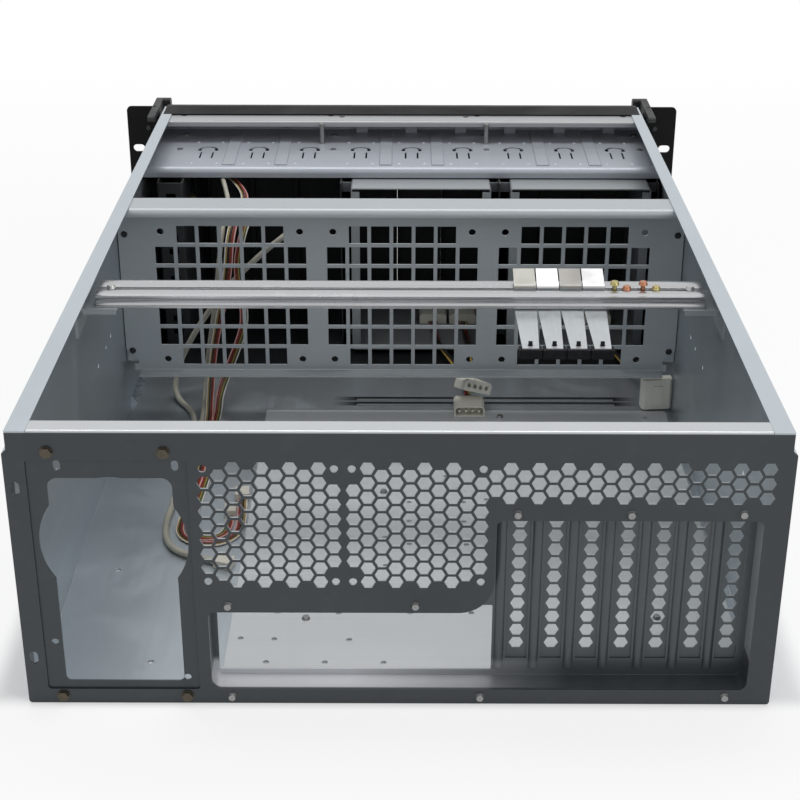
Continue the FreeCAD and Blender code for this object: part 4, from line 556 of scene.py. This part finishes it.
def route_line(name, points):
    """The smooth line of a route: a NURBS curve of order 3 whose control points are the route's points."""
    data = bpy.data.curves.new(name + "_route", "CURVE")
    data.dimensions = "3D"
    spline = data.splines.new("NURBS")
    spline.points.add(len(points) - 1)
    homogeneous = np.ones((len(points), 4))
    homogeneous[:, :3] = np.array(points) + (0.0, REAR_Y, 0.0)
    spline.points.foreach_set("co", homogeneous.ravel())
    spline.order_u = 3
    spline.use_endpoint_u = True
    data.resolution_u = 8
    route = bpy.data.objects.new(name + "_route", data)
    mesh = bpy.data.meshes.new_from_object(route)
    line = np.zeros(len(mesh.vertices) * 3)
    mesh.vertices.foreach_get("co", line)
    bpy.data.meshes.remove(mesh)
    bpy.data.objects.remove(route)
    bpy.data.curves.remove(data)
    return line.reshape(-1, 3)


def unit(v):
    """Each vector divided by its length."""
    return v / np.maximum(np.linalg.norm(v, axis=-1, keepdims=True), 1e-12)


def directions(line):
    """Side and rise at each point. Side is the tangent crossed with a reference that is upright on level
    runs and turns towards the rear on falling ones, so it stays level all along; rise is square to both."""
    tangent = unit(np.gradient(line, axis=0))
    fall = np.clip(tangent[:, 2:3] ** 2 * 1.6, 0.0, 1.0)
    reference = (1.0 - fall) * np.array([0.0, 0.0, 1.0]) + fall * np.array([0.0, -1.0, 0.0])
    side = unit(np.cross(tangent, reference))
    return side, np.cross(side, tangent)


def run_of(line):
    """Distance along the line at each point, in metres."""
    return np.concatenate([[0.0], np.cumsum(np.linalg.norm(np.diff(line, axis=0), axis=1))])


def tube_grid(centre, radius, sides):
    """Rings round a centre line: the point of ring i on spoke j is centre i plus the radius times
    (cos a_j side_i + sin a_j rise_i), with the angles a_j evenly spaced."""
    side, rise = directions(centre)
    angle = np.linspace(0.0, 2.0 * math.pi, sides, endpoint=False)
    ring = np.cos(angle)[None, :, None] * side[:, None, :] + np.sin(angle)[None, :, None] * rise[:, None, :]
    return centre[:, None, :] + radius * ring


def closed_tube(grid):
    """Points and faces of a ring grid: quads between the rings, and a fan to the middle of each end."""
    rings, sides = grid.shape[:2]
    points = np.concatenate([grid.reshape(-1, 3), grid[0].mean(0)[None], grid[-1].mean(0)[None]])
    i, j = np.meshgrid(np.arange(rings - 1), np.arange(sides), indexing="ij")
    near, far, turn = i * sides, (i + 1) * sides, (j + 1) % sides
    quads = np.stack([near + j, near + turn, far + turn, far + j], -1).reshape(-1, 4)
    a, b = np.arange(sides), (np.arange(sides) + 1) % sides
    end = (rings - 1) * sides
    first = np.stack([np.full(sides, rings * sides), b, a], -1)
    last = np.stack([np.full(sides, rings * sides + 1), end + a, end + b], -1)
    return points, quads.tolist() + first.tolist() + last.tolist()


def make_piece(name, parts, finishes):
    """One smooth-shaded mesh object at the origin from (points, faces, finish index) parts."""
    points, faces, slots, base = [], [], [], 0
    for p, f, slot in parts:
        points.append(p)
        faces += [[v + base for v in face] for face in f]
        slots += [slot] * len(f)
        base += len(p)
    mesh = bpy.data.meshes.new(name)
    mesh.from_pydata(np.concatenate(points).tolist(), [], faces)
    for finish in finishes:
        mesh.materials.append(finish)
    mesh.polygons.foreach_set("material_index", slots)
    mesh.polygons.foreach_set("use_smooth", [True] * len(faces))
    mesh.update()
    return add_object(name, mesh)


def ease(x, a, b):
    """0 before a, 1 after b, and a smooth S between."""
    t = np.clip((x - a) / (b - a), 0.0, 1.0)
    return t * t * (3.0 - 2.0 * t)


WIRES = {
    "wire_white": wire_jacket("wire_white", srgb(214, 208, 200)),
    "wire_pink": wire_jacket("wire_pink", srgb(206, 160, 156)),
    "wire_red": wire_jacket("wire_red", srgb(138, 44, 34)),
    "wire_black": wire_jacket("wire_black", srgb(34, 30, 30)),
    "wire_yellow": wire_jacket("wire_yellow", srgb(158, 134, 66)),
    "wire_brown": wire_jacket("wire_brown", srgb(104, 52, 34)),
    "wire_green": wire_jacket("wire_green", srgb(52, 84, 58)),
}

RIBBON_WIRE_R = 0.00052
USB_CABLE_R = 0.0022
AUDIO_CABLE_R = 0.0018
LEAD_WIRE_R = 0.0008
LEAD_TWIST_R = 0.00118      # from the lead's line to the middle of each of its wires
CONTACT_PITCH = 0.0022      # between the wires where they fan out to a plug
FAN_RUN = 0.022             # length of the fanned stretch at each end

# routes, as points (x, distance from the rear panel, z)
FRONT_CABLE = (
    (-0.1925, 0.618, 0.128), (-0.1925, 0.594, 0.128), (-0.173, 0.567, 0.139), (-0.144, 0.541, 0.144),
    (-0.13, 0.508, 0.142), (-0.124, 0.468, 0.147), (-0.127, 0.430, 0.150), (-0.131, 0.404, 0.139),
    (-0.133, 0.397, 0.112), (-0.139, 0.396, 0.082), (-0.146, 0.395, 0.052), (-0.149, 0.392, 0.027),
    (-0.1495, 0.378, 0.010), (-0.149, 0.357, 0.0041), (-0.1484, 0.320, 0.0038), (-0.146, 0.283, 0.0038),
    (-0.1485, 0.245, 0.0038), (-0.1515, 0.212, 0.0038), (-0.1515, 0.189, 0.0038), (-0.139, 0.1765, 0.0038),
    (-0.1225, 0.1765, 0.0038), (-0.1102, 0.189, 0.0038), (-0.1098, 0.212, 0.0038), (-0.112, 0.238, 0.0038))
LAMP_CABLE = (
    (-0.1925, 0.618, 0.118), (-0.1925, 0.594, 0.118), (-0.176, 0.567, 0.110), (-0.146, 0.543, 0.113),
    (-0.126, 0.512, 0.124), (-0.119, 0.492, 0.134), (-0.117, 0.474, 0.142), (-0.117, 0.442, 0.146),
    (-0.121, 0.419, 0.142), (-0.127, 0.411, 0.118), (-0.126, 0.408, 0.098), (-0.1225, 0.407, 0.079),
    (-0.123, 0.405, 0.064), (-0.129, 0.402, 0.047), (-0.136, 0.398, 0.030), (-0.142, 0.391, 0.015),
    (-0.1436, 0.376, 0.006), (-0.1434, 0.357, 0.0038), (-0.1428, 0.320, 0.0038), (-0.1405, 0.283, 0.0038),
    (-0.1425, 0.245, 0.0038), (-0.145, 0.212, 0.0038), (-0.145, 0.194, 0.0038), (-0.136, 0.1845, 0.0038),
    (-0.1265, 0.1845, 0.0038), (-0.1175, 0.194, 0.0038), (-0.1185, 0.214, 0.0038))
USB_CABLE = (
    (-0.1925, 0.618, 0.108), (-0.1925, 0.594, 0.108), (-0.176, 0.566, 0.109), (-0.15, 0.542, 0.111),
    (-0.12, 0.524, 0.115), (-0.097, 0.503, 0.126), (-0.083, 0.484, 0.138), (-0.077, 0.463, 0.1405),
    (-0.079, 0.440, 0.141), (-0.086, 0.421, 0.137), (-0.106, 0.419, 0.122), (-0.13, 0.418, 0.099),
    (-0.15, 0.416, 0.075), (-0.167, 0.413, 0.049), (-0.178, 0.414, 0.025), (-0.181, 0.408, 0.010),
    (-0.176, 0.396, 0.0039), (-0.166, 0.382, 0.0038), (-0.1593, 0.362, 0.0038), (-0.1585, 0.330, 0.0038),
    (-0.16, 0.296, 0.0038), (-0.161, 0.262, 0.0038), (-0.16, 0.228, 0.0038), (-0.162, 0.200, 0.0038),
    (-0.157, 0.172, 0.0038), (-0.141, 0.158, 0.0038), (-0.122, 0.152, 0.0038))
AUDIO_CABLE = (
    (-0.1925, 0.618, 0.138), (-0.1925, 0.594, 0.138), (-0.177, 0.567, 0.144), (-0.151, 0.540, 0.147),
    (-0.143, 0.500, 0.145), (-0.137, 0.462, 0.148), (-0.137, 0.432, 0.147), (-0.1385, 0.414, 0.134),
    (-0.142, 0.406, 0.106), (-0.145, 0.404, 0.080), (-0.15, 0.402, 0.054), (-0.1535, 0.400, 0.026),
    (-0.1548, 0.388, 0.010), (-0.1542, 0.366, 0.004), (-0.1539, 0.340, 0.0033), (-0.1534, 0.312, 0.0033))
POWER_LEADS = (
    ((0.0538, 0.3915, 0.0067), (0.053, 0.410, 0.0062), (0.050, 0.432, 0.0046), (0.043, 0.460, 0.008),
     (0.034, 0.490, 0.009), (0.029, 0.520, 0.008), (0.028, 0.548, 0.0079)),
    ((0.0545, 0.4015, 0.0156), (0.0535, 0.408, 0.021), (0.0535, 0.418, 0.018), (0.057, 0.436, 0.0075),
     (0.060, 0.466, 0.0086), (0.057, 0.498, 0.009), (0.0545, 0.524, 0.008), (0.054, 0.548, 0.0079)),
    ((0.200, 0.3886, 0.0286), (0.1986, 0.3945, 0.042), (0.1988, 0.404, 0.046), (0.1982, 0.418, 0.038),
     (0.192, 0.432, 0.021), (0.186, 0.450, 0.009), (0.181, 0.474, 0.0086), (0.176, 0.500, 0.009),
     (0.1725, 0.525, 0.008), (0.172, 0.548, 0.0079)))


def declare_cord(piece, node):
    """Hides the node that the piece stands for, a cord on the case that follows the line, and hangs the
    piece on the case.
    """
    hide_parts(node)
    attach(piece, "case")


def make_ribbon(name, node, points, order, phase):
    """A flat ribbon of thin wires: each lies beside the line by its place in the row times a width that
    opens and closes a little along the run, with a slow rise and fall of its own, level on the floor."""
    line = route_line(node, points)
    side, rise = directions(line)
    run = run_of(line)
    share = run / run[-1]
    names = sorted(set(order))
    place = np.linspace(-1.0, 1.0, len(order))
    half = (len(order) - 1) * RIBBON_WIRE_R * 1.05
    width = half * (1.0 + 0.10 * np.sin(2 * math.pi * (share * 3.1 + phase)))
    width = width * (1.0 - 0.35 * (1 - ease(run, 0.0, 0.03)))
    floor_lift = FLOOR_TOP + RIBBON_WIRE_R + 0.00035 - line[:, 2]
    on_floor = 1.0 - ease(line[:, 2], 0.0046, 0.012)
    parts = []
    for k, u in enumerate(place):
        sway = 0.00012 * np.sin(2 * math.pi * (share * (4.0 + 0.7 * k) + 0.37 * k))
        bulge = 0.0004 * np.sin(2 * math.pi * (share * (3.0 + 0.45 * k) + 0.61 * k + phase))
        off_side = u * width + sway
        off_rise = (1 - on_floor) * bulge + on_floor * (floor_lift + np.abs(bulge))
        centre = line + off_side[:, None] * side + off_rise[:, None] * rise
        mesh_points, faces = closed_tube(tube_grid(centre, RIBBON_WIRE_R, 7))
        parts.append((mesh_points, faces, names.index(order[k])))
    ribbon = make_piece(name, parts, [WIRES[n] for n in names])
    declare_cord(ribbon, node)


def make_round_cable(name, node, points, radius):
    """A round jacketed cable: rings of one radius on the line."""
    line = route_line(node, points)
    mesh_points, faces = closed_tube(tube_grid(line, radius, 14))
    cable = make_piece(name, [(mesh_points, faces, 0)], [FINISHES["cable_jacket"]])
    declare_cord(cable, node)


def make_reshaped(name, node, finish, change):
    """The node's own surface with its points moved by change, a function of all points at once."""
    data = bpy.data.meshes.new(name)
    shape = bmesh.new()
    shape.from_mesh(NODES[node].data)
    bmesh.ops.remove_doubles(shape, verts=shape.verts, dist=1e-6)
    shape.to_mesh(data)
    shape.free()
    points = np.zeros(len(data.vertices) * 3)
    data.vertices.foreach_get("co", points)
    data.vertices.foreach_set("co", change(points.reshape(-1, 3)).ravel())
    data.materials.clear()
    data.materials.append(FINISHES[finish])
    data.update()
    made = add_object(name, data)
    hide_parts(node)
    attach(made, "case")


UPPER_PLUG_MIDDLE = np.array([0.0572, 0.3934 + REAR_Y, 0.016])
UPPER_PLUG_ROLL = math.radians(20.7)
UPPER_PLUG_LIFT = 0.003
GRIP_OUTWARD = 0.004
GRIP_FADE = 0.2156, 0.2200      # the move fades between these distances from the case's middle


def rolled(points):
    """A roll about a line along y through the plug's middle, where x and z from the middle turn together,
    and then a lift off the plug below."""
    c, s = math.cos(UPPER_PLUG_ROLL), math.sin(UPPER_PLUG_ROLL)
    x, y, z = (points - UPPER_PLUG_MIDDLE).T
    return np.stack([c * x + s * z, y, c * z - s * x + UPPER_PLUG_LIFT], -1) + UPPER_PLUG_MIDDLE


def spread(points):
    """The grip stands further outward, by a distance that fades to nothing at the pads on the ear."""
    x = points[:, 0]
    outward = np.sign(x) * GRIP_OUTWARD * (1.0 - ease(np.abs(x), *GRIP_FADE))
    return points + outward[:, None] * (1.0, 0.0, 0.0)


def make_power_lead(k, points):
    """Four thin wires round the line, each a quarter turn from the next, all turning 1.2 times along the
    run, and fanned out side by side at both ends to meet the plugs' contacts."""
    node = "power_lead_%d" % k
    line = route_line(node, points)
    side, rise = directions(line)
    run = run_of(line)
    total = run[-1]
    order = ["wire_red", "wire_black", "wire_black", "wire_yellow"]
    names = sorted(set(order))
    fan = (1.0 - ease(run, 0.0, FAN_RUN)) + ease(run, total - FAN_RUN, total)
    parts = []
    for i, name in enumerate(order):
        angle = 2 * math.pi * (i / 4.0 + 0.125 + 1.2 * run / total)
        off_side = (1 - fan) * LEAD_TWIST_R * np.cos(angle) + fan * (i - 1.5) * CONTACT_PITCH
        off_rise = (1 - fan) * LEAD_TWIST_R * np.sin(angle)
        centre = line + off_side[:, None] * side + off_rise[:, None] * rise
        mesh_points, faces = closed_tube(tube_grid(centre, LEAD_WIRE_R, 8))
        parts.append((mesh_points, faces, names.index(name)))
    lead = make_piece(node + "_wires", parts, [WIRES[n] for n in names])
    declare_cord(lead, node)


make_ribbon("front_cable_wires", "front_panel_cable", FRONT_CABLE,
            ["wire_pink", "wire_red", "wire_brown", "wire_black", "wire_yellow", "wire_white"], 0.15)
make_ribbon("lamp_cable_wires", "lamp_cable", LAMP_CABLE,
            ["wire_white", "wire_green", "wire_yellow", "wire_brown", "wire_red", "wire_pink"], 0.55)
make_round_cable("usb_cable_jacket", "usb_cable", USB_CABLE, USB_CABLE_R)
make_round_cable("audio_cable_jacket", "audio_cable", AUDIO_CABLE, AUDIO_CABLE_R)
make_reshaped("upper_plug", "power_plug_2", "plug_plastic", rolled)
make_reshaped("left_grip", "handle_left", "handle_plastic", spread)
make_reshaped("right_grip", "handle_right", "handle_plastic", spread)
for number, (route, plug) in enumerate(zip(POWER_LEADS, ("power_plug_1", "upper_plug", "power_plug_3")), 1):
    make_power_lead(number, route)

# ---------------------------------------------------------------- floor, light and background


FLOOR_R = 9.0
FLOOR_DROP = 0.0004         # the floor lies this far below the case's underside
FLOOR_RINGS, FLOOR_SPOKES = 24, 64
# glow over the floor's grey: it grows between two distances past the case's sides, up to a share
NEAR_GLOW = (-0.012, 0.006, 0.80)
FAR_GLOW = (0.05, 0.9, 0.20)
SKY_LIGHT = 0.55            # the white surroundings' strength where they light the case


def floor_finish():
    """Pale grey that takes the shadow, with a white glow that grows with the distance from the case."""
    material = bpy.data.materials.new("pale_floor")
    f = Nodes(material)
    plain = f.node("ShaderNodeBsdfDiffuse")
    plain.inputs["Color"].default_value = (0.86, 0.86, 0.86, 1.0)
    glow = f.node("ShaderNodeEmission")
    glow.inputs["Color"].default_value = (1.0, 1.0, 1.0, 1.0)
    place = f.node("ShaderNodeSeparateXYZ")
    f.link(f.node("ShaderNodeTexCoord").outputs["Object"], place.inputs[0])
    past_side = f.maths("SUBTRACT", f.maths("ABSOLUTE", place.outputs[0], 0.0), CAD_BOX[1][0])
    past_end = f.maths("SUBTRACT", f.maths("ABSOLUTE", place.outputs[1], 0.0), CAD_BOX[1][1])
    past = f.maths("MAXIMUM", past_side, past_end)
    near = f.ramp(past, NEAR_GLOW[0], NEAR_GLOW[1], 0.0, NEAR_GLOW[2], "SMOOTHSTEP")
    far = f.ramp(past, FAR_GLOW[0], FAR_GLOW[1], 0.0, FAR_GLOW[2], "SMOOTHSTEP")
    share = f.maths("MULTIPLY", f.maths("ADD", near, far), f.screened())
    mixed = f.node("ShaderNodeMixShader")
    f.link(share, mixed.inputs[0])
    f.link(plain.outputs[0], mixed.inputs[1])
    f.link(glow.outputs[0], mixed.inputs[2])
    f.link(mixed.outputs[0], f.node("ShaderNodeOutputMaterial").inputs["Surface"])
    return material


def make_floor():
    """A wide flat disc: ring i has the radius FLOOR_R times the square of i over the number of rings."""
    radius = FLOOR_R * (np.arange(1, FLOOR_RINGS + 1) / FLOOR_RINGS) ** 2
    angle = np.linspace(0.0, 2.0 * math.pi, FLOOR_SPOKES, endpoint=False)
    flat = np.full((FLOOR_RINGS, FLOOR_SPOKES), -FLOOR_DROP)
    points = np.stack([radius[:, None] * np.cos(angle), radius[:, None] * np.sin(angle), flat], -1)
    points = np.concatenate([points.reshape(-1, 3), [[0.0, 0.0, -FLOOR_DROP]]])
    i, j = np.meshgrid(np.arange(FLOOR_RINGS - 1), np.arange(FLOOR_SPOKES), indexing="ij")
    near, far, turn = i * FLOOR_SPOKES, (i + 1) * FLOOR_SPOKES, (j + 1) % FLOOR_SPOKES
    quads = np.stack([near + j, far + j, far + turn, near + turn], -1).reshape(-1, 4)
    a = np.arange(FLOOR_SPOKES)
    fan = np.stack([np.full(FLOOR_SPOKES, FLOOR_RINGS * FLOOR_SPOKES), a, (a + 1) % FLOOR_SPOKES], -1)
    mesh = bpy.data.meshes.new("pale_floor")
    mesh.from_pydata(points.tolist(), [], quads.tolist() + fan.tolist())
    mesh.materials.append(floor_finish())
    add_object("pale_floor", mesh)


def make_world():
    """Soft white surroundings: white where they are seen, weaker where they light the case."""
    world = bpy.data.worlds.new("soft_white")
    bpy.context.scene.world = world
    w = Nodes(world)
    sky = w.node("ShaderNodeBackground")
    sky.inputs["Color"].default_value = (1.0, 1.0, 1.0, 1.0)
    w.link(w.ramp(w.screened(), 0.0, 1.0, SKY_LIGHT, 1.0), sky.inputs["Strength"])
    w.link(sky.outputs[0], w.node("ShaderNodeOutputWorld").inputs["Surface"])


def area_lamp(name, place, aim, width, depth, watts):
    """A soft rectangular lamp that stands at place and faces aim."""
    lamp = bpy.data.lights.new(name, "AREA")
    lamp.shape, lamp.size, lamp.size_y, lamp.energy = "RECTANGLE", width, depth, watts
    made = add_object(name, lamp)
    made.location = place
    made.rotation_mode = "QUATERNION"
    made.rotation_quaternion = (Vector(aim) - Vector(place)).to_track_quat("-Z", "Y")


make_floor()
make_world()
area_lamp("key_lamp", (0.0, 0.30, 2.0), (0.0, 0.0, 0.0), 1.6, 0.60, 18.0)
area_lamp("fill_lamp", (1.5, -1.2, 1.2), (0.0, 0.0, 0.05), 1.2, 1.2, 7.0)
bpy.context.scene.view_settings.view_transform = "Standard"
